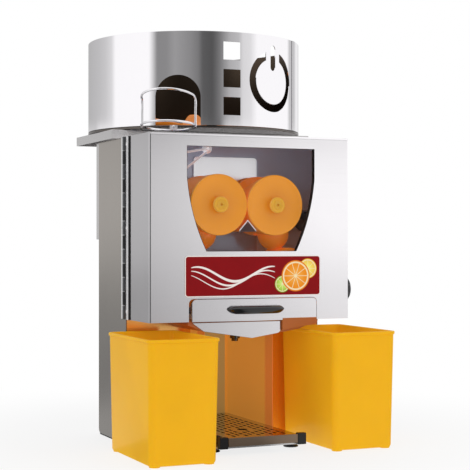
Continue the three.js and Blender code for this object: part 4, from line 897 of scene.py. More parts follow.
def piece(name, mesh, finish, *nodes, like=None, edge=0.0, segments=2):
    """A mesh as a piece of the object, standing for CAD nodes or riding like one."""
    made = linked(name, mesh)
    mesh.materials.clear()
    mesh.materials.append(FINISHES[finish])
    if edge:
        rounding = made.modifiers.new("Edges", "BEVEL")
        rounding.width = edge
        rounding.segments = segments
        rounding.limit_method = "ANGLE"
        rounding.angle_limit = radians(SHARP)
        rounding.harden_normals = True
    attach(made, BODIES[nodes[0] if nodes else like])
    if nodes:
        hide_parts(*nodes)
    return made


def solid_of(node, joined=FLAT):
    """A copy of a CAD node's mesh, with its doubles merged and its flat faces joined."""
    bm = bmesh.new()
    bm.from_mesh(frame["nodes"][node].data)
    bmesh.ops.remove_doubles(bm, verts=bm.verts, dist=WELD)
    bmesh.ops.dissolve_limit(bm, angle_limit=radians(joined), verts=bm.verts, edges=bm.edges)
    mesh = bpy.data.meshes.new(node)
    bm.to_mesh(mesh)
    bm.free()
    return smoothed(mesh, SHARP)


def dressed(node, finish, edge, segments=2):
    """A CAD node whose edges are rounded."""
    return piece(f"{node}_finished", solid_of(node), finish, node, edge=edge, segments=segments)


def painted(node, finish):
    """A CAD node that stays as it is and gets a finish."""
    for slot in frame["nodes"][node].material_slots:
        slot.material = FINISHES[finish]


def screw(bm, place, outward, radius):
    """A domed head with a socket."""
    head = scaled(SCREW_HEAD, radius, radius * SCREW_HEIGHT)
    turned(bm, head, Vector(place), Vector(outward), SCREW_STEPS)

def round_piece(name, profile, place, axis, finish, node, steps=ROUND_STEPS, angle=35):
    """A turned outline as a piece that stands for a CAD node."""
    bm = bmesh.new()
    turned(bm, profile, place, axis, steps)
    return piece(name, mesh_of(bm, angle), finish, node)


def screws(name, node, places, outward, radius):
    """Screw heads on a CAD node's face."""
    bm = bmesh.new()
    for place in places:
        screw(bm, place, outward, radius)
    piece(name, mesh_of(bm), "screw_steel", like=node)


def juicer_sizes():
    return bpy.context.scene.juicer_sizes


class JUICER_OT_finishes(Operator):
    """Makes the materials"""

    bl_idname = "juicer.finishes"
    bl_label = "Finishes"

    def execute(self, context):
        tones = context.scene.juicer_colours
        # Painted reflection on the cover, the drawer's face and the tray guard: darker to the left and
        # towards the bottom.
        painted_light_fades = (("X", -0.24, 0.19, 0.82), ("Z", 0.2, 0.5, 0.16))
        brushed("cover_sheet", tones.cover, 0.15, "X", smudge_and_shade_darkest=0.484, painted_light_fades=painted_light_fades)
        # Painted shade on the column's sides: darker towards the bottom.
        brushed("side_sheet", tones.side, 0.22, "Z", smudge_and_shade_darkest=0.4, painted_light_fades=(("Z", 0.08, 0.44, 0.8),))
        brushed("steel_sheet", tones.steel, 0.26, "X")
        brushed("slate_sheet", tones.slate, 0.4, "Z", 0.2)
        disc_height, front_low = centre_of("upper_left_disc").z, corners("drawer_front")[0].z
        # The back plate: bright steel above the discs' height, and below it a darker slate painted as shade.
        chamber_sheet("pale_sheet", tones.bright, shade(tones.slate, 0.6), disc_height, (1.0, 0.2))
        # The column's front: chamber sheet above the drawer's bottom edge; below it a blush tint paints the
        # bins' reflection into steel that also reflects for real.
        chamber_sheet("front_plate_sheet", tones.slate, tones.painted_blush_reflection, front_low, (0.2, 0.9))
        # The alcove's lining: painted reflections of the bins, painted shade and a painted glow.
        alcove_low, alcove_high = corners("alcove_liner")
        alcove_sheet("alcove_sheet", tones.painted_warm_reflection, tones.deep, tones.back, alcove_high.x, alcove_low.y)
        pan_sheet("pan_sheet", tones.lip, tones.black, corners("drip_pan")[0].y)
        for name, base, share, roughness, glow in POLISHED:
            polished(name, shade(getattr(tones, base), share), roughness, glow)
        for name, base, share, roughness, metallic, grain in CAST:
            cast(name, shade(getattr(tones, base), share), roughness, metallic, grain)
        # The orange plastic gets a faint painted glow.
        moulded("orange_plastic", tones.orange, 0.36, glow=0.16)
        moulded("tray_plastic", tones.tray, 0.34)
        # The bins' plastic gets a faint painted glow besides the light through its walls.
        moulded("bin_plastic", tones.yellow, 0.32, glow=0.22, specular_ior_level=0.06)
        self.let_light_through("bin_plastic", tones.yellow)
        moulded("nylon", tones.nylon, 0.45)
        moulded("black_gloss", tones.black, 0.14, 0.00001, coat_weight=0.5)
        moulded("black_plastic", tones.black, 0.42, 0.00006)
        moulded("black_rubber", tones.black, 0.75, 0.0001)
        for side in ("left", "right"):
            # Discs and knobs: painted shade towards the hub and a painted rim highlight.
            centre = centre_of(f"upper_{side}_disc")
            spun(f"disc_{side}", tones.disc, 0.32, centre, 0.012, 0.0532)
            spun(f"knob_{side}", tones.knob, 0.34, centre, 0.004, 0.0138)
        clear_pane("clear_pane")
        printed("label_print", tuple(tones.label), *corners("front_label"))
        return {"FINISHED"}

    def let_light_through(self, finish, tint):
        """Thin moulded walls that glow a little where light falls on their other side."""
        shader = FINISHES[finish].node_tree.nodes["Principled BSDF"]
        values = {"Weight": BIN_THROUGH, "Radius": tuple(tint), "Scale": BIN_DEPTH}
        for name, value in values.items():
            shader.inputs[f"Subsurface {name}"].default_value = value

class JUICER_OT_casing(Operator):
    """Makes the sheet casing of the column with its screws"""

    bl_idname = "juicer.casing"
    bl_label = "Casing"

    def execute(self, context):
        sizes = juicer_sizes()
        for side in ("left", "right"):
            dressed(f"side_panel_{side}", "side_sheet", sizes.edge)
        for node in ("top_plate", "base_plate", "rear_cover", "rear_box", "hopper_base"):
            dressed(node, "steel_sheet", sizes.edge)
        dressed("column_front_plate", "front_plate_sheet", sizes.edge)
        dressed("alcove_liner", "alcove_sheet", sizes.edge)
        dressed("base_strip", "black_rubber", sizes.edge)
        inset = sizes.screw_inset
        for node, extra in (("rear_cover", "height"), ("rear_box", "width")):
            low, high = corners(node)
            columns, rows = [low.x + inset, high.x - inset], [low.z + inset, high.z - inset]
            if extra == "height":
                rows.insert(1, (low.z + high.z) / 2)
            else:
                columns.insert(1, 0)
            places = [(across, high.y, up) for across in columns for up in rows]
            screws(f"{node}_screws", node, places, Y, sizes.screw)
        return {"FINISHED"}


class JUICER_OT_cover(Operator):
    """Makes the front cover, its window, its seal and its panel"""

    bl_idname = "juicer.cover"
    bl_label = "Front cover"

    def execute(self, context):
        edge = juicer_sizes().edge
        self.make_shell(edge)
        painted("window_pane", "clear_pane")
        self.make_seal()
        low, high = corners("front_label")
        bm = bmesh.new()
        prism(bm, *upright(rectangle(low.x, low.z, high.x, high.z, LABEL_CORNER), low.y, high.y))
        piece("front_panel_print", mesh_of(bm), "label_print", "front_label", edge=edge / 4)
        return {"FINISHED"}

    def make_shell(self, edge):
        """The folded sheet, with round folds along the front's sides and top."""
        low, high = corners("cover_shell")
        bm = bmesh.new()
        bm.from_mesh(solid_of("cover_shell"))
        folds = []
        for line in bm.edges:
            one, other = (vertex.co for vertex in line.verts)
            at_front = max(one.y, other.y) < low.y + SEAT
            at_side = min(one.x, other.x) > high.x - SEAT or max(one.x, other.x) < low.x + SEAT
            at_top = min(one.z, other.z) > high.z - SEAT
            if at_front and (at_side or at_top):
                folds.append(line)
        bmesh.ops.bevel(
            bm, geom=folds, offset=COVER_FOLD, segments=8, profile=0.5, affect="EDGES", material=-1)
        shell = piece("cover_shell_folded", mesh_of(bm), "cover_sheet", "cover_shell", edge=edge)
        flat = shell.modifiers.new("Flat sheet", "WEIGHTED_NORMAL")
        flat.keep_sharp = True

    def make_seal(self):
        """A thin lip in the opening and a frame of rubber behind the pane."""
        lip_back, pane_back = (corners(node)[1].y for node in ("window_gasket", "window_pane"))
        bm = bmesh.new()
        parts = (
            (-SEAT - SEAL_LIP, -SEAT, lip_back - SHEET, lip_back),
            (0.0, SEAL_FRAME, pane_back + SEAT, pane_back + SEAL_DEPTH),
        )
        for inward, outward, front, back in parts:
            rings = []
            for grow, y in ((inward, front), (outward, front), (outward, back), (inward, back)):
                rings.append([(across, y, up) for across, up in window_outline(grow)])
            loft(bm, rings, closed=True)
        piece("window_seal", mesh_of(bm, 50), "black_rubber", "window_gasket", edge=SEAL_LIP / 4)


class JUICER_OT_chamber(Operator):
    """Makes the fittings of the squeezing chamber"""

    bl_idname = "juicer.chamber"
    bl_label = "Chamber"

    def execute(self, context):
        sizes = juicer_sizes()
        dressed("chamber_back_plate", "pale_sheet", sizes.edge)
        dressed("knife", "hinge_leaf", sizes.edge / 2)
        dressed("feed_chute", "slate_sheet", sizes.edge)
        for side in ("left", "right"):
            dressed(f"peel_ejector_{side}", "black_plastic", sizes.edge * 2)
        self.make_guide(sizes)
        return {"FINISHED"}

    def make_guide(self, sizes):
        """A hairpin of wire whose two ends are welded to a bolted flange."""
        high = corners("chute_guide")[1]
        flange = Vector((high.x - GUIDE_FLANGE, high.y, high.z - GUIDE_FLANGE))
        root = flange - Y * (GUIDE_PLATE / 2)
        top = GUIDE_END + Z * (flange.z - GUIDE_FALL)
        bottom = top - Z * GUIDE_SPREAD
        lower_root = root - Z * (GUIDE_FLANGE / 2)
        points = [root.lerp(top, share) for share in GUIDE_SHARES]
        points += [lower_root.lerp(bottom, share) for share in GUIDE_SHARES[::-1]]
        bm = bmesh.new()
        wire(bm, points, sizes.wire)
        turned(bm, scaled(FLANGE_DISC, GUIDE_FLANGE, GUIDE_PLATE), flange, -Y, 32)
        screw(bm, flange - Y * GUIDE_PLATE, -Y, sizes.screw * 1.5)
        piece("chute_guide_wire", mesh_of(bm, 50), "guide_wire", "chute_guide")


class JUICER_OT_drums(Operator):
    """Makes the squeezing drums with their discs and knobs"""

    bl_idname = "juicer.drums"
    bl_label = "Drums"

    def execute(self, context):
        for side in ("left", "right"):
            upper, lower = centre_of(f"upper_{side}_disc"), centre_of(f"lower_{side}_geared_shaft")
            lean = (lower - upper) * Vector((1, 0, 1))
            pitch = lean.length / 2
            self.make_cup_drum(side, upper, lean.normalized(), pitch)
            self.make_ball_drum(side, lower, lean.normalized(), pitch)
            self.make_disc(side)
            self.make_knob(side)
        return {"FINISHED"}

    def make_cup_drum(self, side, middle, lean, pitch):
        """A drum with two round cups and a groove across each for the strip of peel."""
        node = f"upper_{side}_cup_drum"
        low, high = corners(node)
        axis = Vector((middle.x, 0, middle.z))
        radius = pitch - DRUM_GAP
        bm = bmesh.new()
        turned(bm, tube(BORE, radius, low.y, high.y, CUP_ROUND), axis, Y)
        cups, grooves = bmesh.new(), bmesh.new()
        ball_y = (low.y + high.y) / 2
        for way in (lean, -lean):
            place = axis + Y * ball_y + way * pitch
            ball(cups, place, CUP_RADIUS)
            bottom = place - way * (CUP_RADIUS + GROOVE)
            self.slot(grooves, bottom, way, Y, GROOVE, GROOVE * 5, CUP_RADIUS * 0.8)
        mesh = carved(carved(mesh_of(bm), mesh_of(cups)), mesh_of(grooves))
        piece(f"{node}_round", mesh, "orange_plastic", node)

    def slot(self, bm, place, way, along, width, height, reach):
        """A slot's block, from a place outwards along a way."""
        across, start = along.cross(way) * (width / 2), place - along * reach
        top = start + way * height
        prism(bm, [start - across, start + across, top + across, top - across], along * (2 * reach))

    def make_ball_drum(self, side, middle, lean, pitch):
        """A hub with two balls, each cut by a cross of slots that the peel strippers pass."""
        node = f"lower_{side}_ball_drum"
        low, high = corners(node)
        axis = Vector((middle.x, 0, middle.z))
        ball_y = (low.y + high.y) / 2
        hub = pitch - BALL_RADIUS + HUB_BITE
        bm = bmesh.new()
        turned(bm, tube(BORE, hub, low.y, high.y, CUP_ROUND), axis, Y)
        balls, slots = bmesh.new(), bmesh.new()
        for way in (lean, -lean):
            ball(balls, axis + Y * ball_y + way * pitch, BALL_RADIUS)
            place = axis + Y * ball_y + way * (pitch + BALL_RADIUS - BALL_SLOT_DEPTH)
            for along in (Y, Y.cross(way)):
                self.slot(slots, place, way, along, BALL_SLOT, BALL_SLOT_DEPTH * 2, BALL_RADIUS * 1.2)
        shaft = bmesh.new()
        rod(shaft, BORE, low.y - SHEET, high.y + SHEET, axis, Y, ROUND_STEPS)
        mesh = carved(mesh_of(bm), mesh_of(balls), "UNION")
        mesh = carved(carved(mesh, mesh_of(slots)), mesh_of(shaft))
        piece(f"{node}_round", mesh, "orange_plastic", node)

    def make_disc(self, side):
        """A dished guard disc with a thin raised rim, and on the left one a small hole beside the knob."""
        node = f"upper_{side}_disc"
        low, high = corners(node)
        middle = centre_of(node)
        radius = (high.x - low.x) / 2
        depth = high.y - low.y
        front = [(BORE, depth * 0.45), *scaled(DISC_FACE, radius, depth)]
        front += [(radius - DISC_RIM * inward, depth * up) for inward, up in DISC_EDGE]
        back = [(radius, depth * 0.3), (radius - DISC_RIM / 2, 0), (BORE, 0)]
        bm = bmesh.new()
        turned(bm, front + back, Vector((middle.x, high.y, middle.z)), -Y, 128)
        mesh = mesh_of(bm, 50)
        if side == "left":
            hole = bmesh.new()
            place = Vector((middle.x, high.y - depth * 2, middle.z)) + DISC_HOLE
            rod(hole, DISC_HOLE_RADIUS, 0, depth * 4, place, Y)
            mesh = carved(mesh, mesh_of(hole), angle=50)
        piece(f"{node}_round", mesh, f"disc_{side}", node)

    def make_knob(self, side):
        """A round knob with a rounded front, a fine ring and a screw hole in it."""
        node = f"upper_{side}_knob"
        low, high = corners(node)
        middle = centre_of(node)
        radius, depth = (high.x - low.x) / 2, high.y - low.y
        curve = []
        for k in range(7):
            turn = k / 6 * pi / 2
            inward, down = KNOB_ROUND * (1 - sin(turn)), KNOB_ROUND * (1 - cos(turn))
            curve.append((radius - inward, depth - down))
        face = [
            (0, depth - KNOB_HOLE * 2), (KNOB_HOLE, depth - KNOB_HOLE * 2),
            (KNOB_HOLE, depth - KNOB_GROOVE), (KNOB_HOLE * 1.5, depth),
            (radius * 0.56, depth), (radius * 0.60, depth - KNOB_GROOVE), (radius * 0.64, depth),
        ]
        stem = radius * KNOB_STEM
        profile = [*face, *curve, (radius, depth * 0.55), (stem, depth * 0.1), (stem, 0), (0, 0)]
        place = Vector((middle.x, high.y, middle.z))
        round_piece(f"{node}_round", profile, place, -Y, f"knob_{side}", node, 64, 40)


class JUICER_OT_drive(Operator):
    """Gives the gearbox and the motors their finishes"""

    bl_idname = "juicer.drive"
    bl_label = "Drive"

    def execute(self, context):
        for node in SLOTS:
            if node.endswith("geared_shaft") or node == "feeder_shaft":
                painted(node, "gear_steel")
        for node in ("bearing_plate", "gear_plate"):
            painted(node, "casting")
        for node in ("drive_motor", "feeder_motor"):
            painted(node, "motor_paint")
        painted("motor_pinion", "nylon")
        return {"FINISHED"}


class JUICER_OT_drawer(Operator):
    """Makes the pulp drawer, the juice tray, its guard and spout"""

    bl_idname = "juicer.drawer"
    bl_label = "Drawer and juice tray"

    def execute(self, context):
        edge = juicer_sizes().edge
        self.make_front(edge)
        dressed("pulp_sieve", "grille_sheet", edge / 2)
        dressed("juice_tray", "tray_plastic", edge * 2)
        dressed("tray_guard", "cover_sheet", edge)
        self.make_handle()
        self.make_spout()
        return {"FINISHED"}

    def make_front(self, edge):
        """The drawer's front: a folded sheet that fills the cover's notch up to a hairline."""
        low, high = corners("drawer_front")
        outline = rounded([
            (low.x, FRONT_LOW, 0), (FRONT_STEP, FRONT_LOW, 0), (FRONT_STEP, FRONT_RIGHT_LOW, 0),
            (high.x, FRONT_RIGHT_LOW, 0), (high.x, FRONT_TOP, FRONT_CORNER), (low.x, FRONT_TOP, FRONT_CORNER),
        ])
        bm = bmesh.new()
        prism(bm, *upright(outline, low.y, high.y))
        piece("drawer_face", mesh_of(bm), "cover_sheet", "drawer_front", edge=edge * 2, segments=3)

    def make_handle(self):
        """A pull like a boat's hull: its ends are drawn in towards the front and towards below."""
        low, high = corners("drawer_handle")
        middle = centre_of("drawer_handle")
        half, reach, height = (high.x - low.x) / 2, high.y - low.y, high.z - low.z
        rings = []
        for up, wide, deep in HANDLE_LEVELS:
            ring = []
            for k in range(HANDLE_STEPS + 1):
                turn = pi * k / HANDLE_STEPS
                across = -cos(turn)
                out = sin(turn) ** HANDLE_SQUARE
                push = abs(across) ** HANDLE_POINT * (1 if across > 0 else -1)
                ring.append((middle.x + push * half * wide, high.y - out * reach * deep, low.z + up * height))
            rings.append(ring)
        bm = bmesh.new()
        loft(bm, rings)
        piece("drawer_pull", mesh_of(bm, 60), "black_gloss", "drawer_handle")

    def make_spout(self):
        low, high = corners("juice_spout")
        middle = centre_of("juice_spout")
        collar, height = (high.x - low.x) / 2, high.z - low.z
        profile = [
            (SPOUT_BORE, 0), (SPOUT_RADIUS * 0.92, 0), (SPOUT_RADIUS, SPOUT_RADIUS * 0.1),
            (SPOUT_RADIUS, height * 0.27), (collar - SPOUT_RADIUS * 0.1, height * 0.29),
            (collar, height * 0.32), (collar, height * 0.58), (collar - SPOUT_RADIUS * 0.1, height * 0.6),
            (SPOUT_RADIUS, height * 0.6), (SPOUT_RADIUS, height), (SPOUT_BORE, height),
        ]
        place = Vector((middle.x, middle.y, low.z))
        round_piece("juice_spout_round", profile, place, Z, "dark_plate", "juice_spout", 48)


class JUICER_OT_hopper(Operator):
    """Makes the hopper's wall, floor, outlet cage and feeder"""

    bl_idname = "juicer.hopper"
    bl_label = "Hopper"

    def execute(self, context):
        low, high = corners("hopper_wall")
        centre = Vector((0, centre_of("hopper_floor").y, 0))
        floor_low, floor_high = corners("hopper_floor")
        radius = (floor_high.x - floor_low.x) / 2
        self.make_wall(low.z, high.z, centre, radius)
        self.make_seam(low.z, high.z, centre, radius)
        self.make_floor(floor_low.z, floor_high.z, centre, radius)
        self.make_cage(centre, radius, floor_high.z, juicer_sizes().wire)
        self.make_feeder(centre)
        return {"FINISHED"}

    def make_wall(self, low, high, centre, radius):
        """One sheet rolled round, with an arch, three squares and a broken ring with its bar cut out."""
        hem = SHEET * 0.35
        profile = [
            (radius - SHEET, low), (radius, low), (radius, high - hem),
            (radius - hem, high), (radius - SHEET + hem, high), (radius - SHEET, high - hem),
        ]
        bm = bmesh.new()
        turned(bm, profile, centre, Z, WALL_STEPS)
        half = ARCH_WIDTH / 2
        arch = [(-half, low - SHEET, 0), (half, low - SHEET, 0), (half, ARCH_TOP, half * 0.98),
                (-half, ARCH_TOP, half * 0.98)]
        cuts = [(rounded(arch, 24), ARCH_ANGLE), (self.ring_outline(), RING_ANGLE)]
        half = BAR_WIDTH / 2
        cuts.append((rectangle(-half, BAR_LOW, half, BAR_HIGH, half * 0.98), RING_ANGLE))
        half = SQUARE_WIDTH / 2
        for bottom in SQUARE_BOTTOMS:
            cuts.append((rectangle(-half, bottom, half, bottom + SQUARE_HEIGHT), SQUARE_ANGLE))
        tools = bmesh.new()
        for outline, angle in cuts:
            out, along = radial(angle)
            start = centre + out * (radius * 0.8)
            prism(tools, [start + along * across + Z * up for across, up in outline], out * (radius * 0.25))
        mesh = carved(mesh_of(bm), mesh_of(tools))
        round_normals(mesh, centre, (radius, radius - SHEET))
        piece("hopper_wall_sheet", mesh, "hopper_sheet", "hopper_wall")
        # Inner faces of the wall take the darker finish: painted shade inside the hopper.
        mesh.materials.append(FINISHES["hopper_inside"])
        for face in mesh.polygons:
            out = face.center - centre
            out.z = 0
            if out.length < radius - SHEET * 0.9 and face.normal.dot(out) < 0:
                face.material_index = 1

    def ring_outline(self):
        """A ring that is open at its top."""
        points = []
        for radius, steps in ((RING_OUTER, range(49)), (RING_INNER, range(48, -1, -1))):
            open_half = pi / 2 - acos(RING_GAP / radius)
            for k in steps:
                turn = pi / 2 + open_half + k / 48 * (tau - 2 * open_half)
                points.append(Vector((radius * cos(turn), RING_Z + radius * sin(turn))))
        return points

    def make_seam(self, low, high, centre, radius):
        """The lapped strip that joins the wall's two ends."""
        half = degrees(SEAM_WIDTH / 2 / radius)
        inner, outer = [], []
        for k in range(9):
            out, _ = radial(SEAM_ANGLE + (k / 4 - 1) * half)
            inner.append(centre + out * (radius + SEAM_LIFT) + Z * low)
            outer.append(centre + out * (radius + SEAM_THICKNESS) + Z * low)
        bm = bmesh.new()
        prism(bm, inner + outer[::-1], Z * (high - low))
        piece("hopper_seam", mesh_of(bm), "hopper_sheet", like="hopper_wall", edge=SEAM_THICKNESS / 3)

    def make_floor(self, low, high, centre, radius):
        profile = tube(FLOOR_BORE, radius, low, high, (high - low) * 0.2)
        round_piece("hopper_floor_plate", profile, centre, Z, "dark_plate", "hopper_floor", WALL_STEPS)

    def make_cage(self, centre, radius, floor_top, thick):
        """A gate of wire on a tilted ring, whose foot is screwed to the edge of the hopper's floor."""
        out = Vector(CAGE_CENTRE) - centre
        out.z = 0
        away = out.normalized()
        along = Vector((-away.y, away.x, 0))
        middle = centre + out

        def spot(turn, height):
            """A place on the cage's round, its turn counted from the right post over the front."""
            return middle + (along * cos(turn) + away * sin(turn)) * CAGE_RADIUS + Z * height

        def ring_height(turn):
            return CAGE_RING + CAGE_TILT * sin(turn)

        bm = bmesh.new()
        wire(bm, [spot(k / 24 * tau, ring_height(k / 24 * tau)) for k in range(24)], thick, cyclic=True)
        half_way, bend = (CAGE_TOP + CAGE_RING) / 2, CAGE_TOP - CAGE_BEND
        hoop = [spot(0, ring_height(0)), spot(0, half_way), spot(0, bend)]
        hoop += [spot(k / 14 * pi, CAGE_TOP + CAGE_CROWN * sin(k / 14 * pi)) for k in range(1, 14)]
        hoop += [spot(pi, bend), spot(pi, half_way), spot(pi, ring_height(pi))]
        wire(bm, hoop, thick)
        for turn in (0, pi):
            ball(bm, spot(turn, ring_height(turn)), thick * 1.35, 12)
        face = centre + away * (radius + SEAT * 2)
        start = Vector((face.x, face.y, CAGE_RING - CAGE_TILT))
        half = CAGE_FOOT / 2
        corners_ = [start - along * half, start + along * half, start + along * half + away * thick,
                    start - along * half + away * thick]
        prism(bm, corners_, Z * (floor_top - start.z))
        screw(bm, start + away * thick + Z * (floor_top - start.z) * 0.72, away, thick * 1.2)
        piece("outlet_cage_wire", mesh_of(bm), "bright_wire", "outlet_cage")

    def make_feeder(self, centre):
        """A hub like a cone with round fingers that push the fruit round."""
        low, high = corners("feeder_rotor")
        height = high.z - low.z
        profile = [(0, 0), (ROTOR_HUB - SHEET, 0), (ROTOR_HUB, SHEET), *scaled(ROTOR_CONE, ROTOR_HUB, height)]
        bm = bmesh.new()
        turned(bm, profile, centre + Z * low.z, Z, 64)
        mesh = mesh_of(bm)
        for k in range(4):
            out, along = radial(90 * k + 45)
            section = rectangle(-FINGER / 2, 0, FINGER / 2, FINGER, FINGER * 0.4)
            start = centre + out * (ROTOR_HUB / 2) + Z * low.z
            finger = bmesh.new()
            outline = [start + along * across + Z * up for across, up in section]
            prism(finger, outline, out * (ROTOR_RADIUS - ROTOR_HUB / 2))
            mesh = carved(mesh, mesh_of(finger), "UNION", 35)
        piece("feeder_rotor_round", mesh, "orange_plastic", "feeder_rotor", edge=SHEET / 2)


class JUICER_OT_drip_tray(Operator):
    """Makes the drip tray, its grille, its base and its feet"""

    bl_idname = "juicer.drip_tray"
    bl_label = "Drip tray"

    def execute(self, context):
        sizes = juicer_sizes()
        dressed("drip_pan", "pan_sheet", sizes.edge)
        dressed("tray_base", "steel_sheet", sizes.edge)
        self.make_grille(sizes)
        for side in ("left", "right"):
            self.make_foot(side, sizes.fold)
        return {"FINISHED"}

    def make_grille(self, sizes):
        """A sheet with slots in columns that are shifted by half a pitch, and a finger hole."""
        low, high = corners("drip_grille")
        bm = bmesh.new()
        outline = rectangle(low.x, low.y, high.x, high.y, SHEET)
        prism(bm, [Vector((a, b, low.z)) for a, b in outline], Z * (high.z - low.z))
        tools = bmesh.new()
        thick = (high.z - low.z) * 2
        hole = Vector((GRILLE_HOLE[0], GRILLE_HOLE[1], low.z - thick / 2))
        rod(tools, GRILLE_HOLE_RADIUS, 0, thick, hole, Z, 40)
        pitch = (high.x - low.x - 2 * GRILLE_BORDER) / sizes.columns
        half, radius = sizes.slot_length / 2, sizes.slot_width / 2
        for column in range(sizes.columns):
            across = low.x + GRILLE_BORDER + (column + 0.5) * pitch
            y = low.y + GRILLE_BORDER + half + (column % 2) * sizes.slot_pitch / 2
            while y + half < high.y - GRILLE_BORDER / 2:
                if (Vector((across, y)) - Vector(GRILLE_HOLE)).length > GRILLE_HOLE_RADIUS + half:
                    shape = rectangle(across - radius, y - half, across + radius, y + half, radius * 0.9, 4)
                    prism(tools, [Vector((a, b, low.z - thick / 2)) for a, b in shape], Z * thick)
                y += sizes.slot_pitch
        mesh = carved(mesh_of(bm), mesh_of(tools))
        piece("drip_grille_slots", mesh, "grille_sheet", "drip_grille")

    def make_foot(self, side, fold):
        """The block at the tray's corner and a round foot with a soft pad under the base."""
        node = f"front_foot_{side}"
        low, high = corners(node)
        sign = -1 if side == "left" else 1
        inner = sign * (corners("drip_pan")[1].x + SEAT * 2)
        outer = inner + sign * BLOCK_WIDTH
        left, right = sorted((inner, outer))
        bm = bmesh.new()
        outline = rectangle(left, BLOCK_LOW, right, high.z, fold)
        prism(bm, *upright(outline, low.y, low.y + BLOCK_DEPTH))
        profile = [
            (0, 0), (FOOT_RADIUS - fold, 0), (FOOT_RADIUS, fold), (FOOT_RADIUS, ARM_HIGH * 0.42),
            (FOOT_RADIUS - fold, ARM_HIGH * 0.55), (FOOT_RADIUS * 0.8, ARM_HIGH), (0, ARM_HIGH),
        ]
        turned(bm, profile, Vector((sign * FOOT_X, FOOT_Y, 0)), Z, 48)
        piece(f"{node}_moulded", mesh_of(bm), "black_plastic", node, edge=fold / 2)


class JUICER_OT_bins(Operator):
    """Makes the two peel bins"""

    bl_idname = "juicer.bins"
    bl_label = "Peel bins"

    def execute(self, context):
        for side in ("left", "right"):
            self.make_bin(side)
        return {"FINISHED"}

    def make_bin(self, side):
        """A flared bin with a rolled rim, rounded bottom edges and four pads."""
        node = f"peel_bin_{side}"
        low, high = corners(node)
        middle = (low + high) / 2
        top = high.z - low.z
        half_x = (high.x - low.x) / 2 - BIN_RIM
        half_y = (high.y - low.y) / 2 - BIN_RIM

        def ring(grow, height, corner=BIN_CORNER):
            lean = 1 - (height - BIN_FOOT) / (top - BIN_FOOT)
            across = half_x - BIN_FLARE_X * lean + grow
            ahead = half_y - BIN_FLARE_Y * lean + grow
            outline = rectangle(-across, -ahead, across, ahead, max(corner + grow, BIN_WALL / 2))
            return [Vector((middle.x + a, middle.y + b, height)) for a, b in outline]

        inside = BIN_FOOT + BIN_WALL
        rings = [ring(-BIN_BASE * grow, BIN_FOOT + BIN_BASE * up) for grow, up in BIN_ROUND]
        rings += [ring(BIN_RIM * grow, top - BIN_RIM * down) for grow, down in BIN_EDGE]
        rings += [ring(-BIN_WALL * grow, top - BIN_RIM * down) for grow, down in BIN_LIP]
        rings += [ring(-BIN_WALL - BIN_BASE * grow, inside + BIN_BASE * up) for grow, up in BIN_ROUND[::-1]]
        bm = bmesh.new()
        loft(bm, rings)
        for sign_x in (-1, 1):
            for sign_y in (-1, 1):
                across = sign_x * (half_x - BIN_FLARE_X - BIN_PAD)
                ahead = sign_y * (half_y - BIN_FLARE_Y - BIN_PAD)
                pad = Vector((middle.x + across, middle.y + ahead, 0))
                turned(bm, scaled(PAD_SHARES, BIN_PAD, BIN_FOOT), pad, Z, ROD_STEPS)
        piece(f"{node}_moulded", mesh_of(bm, 40), "bin_plastic", node)


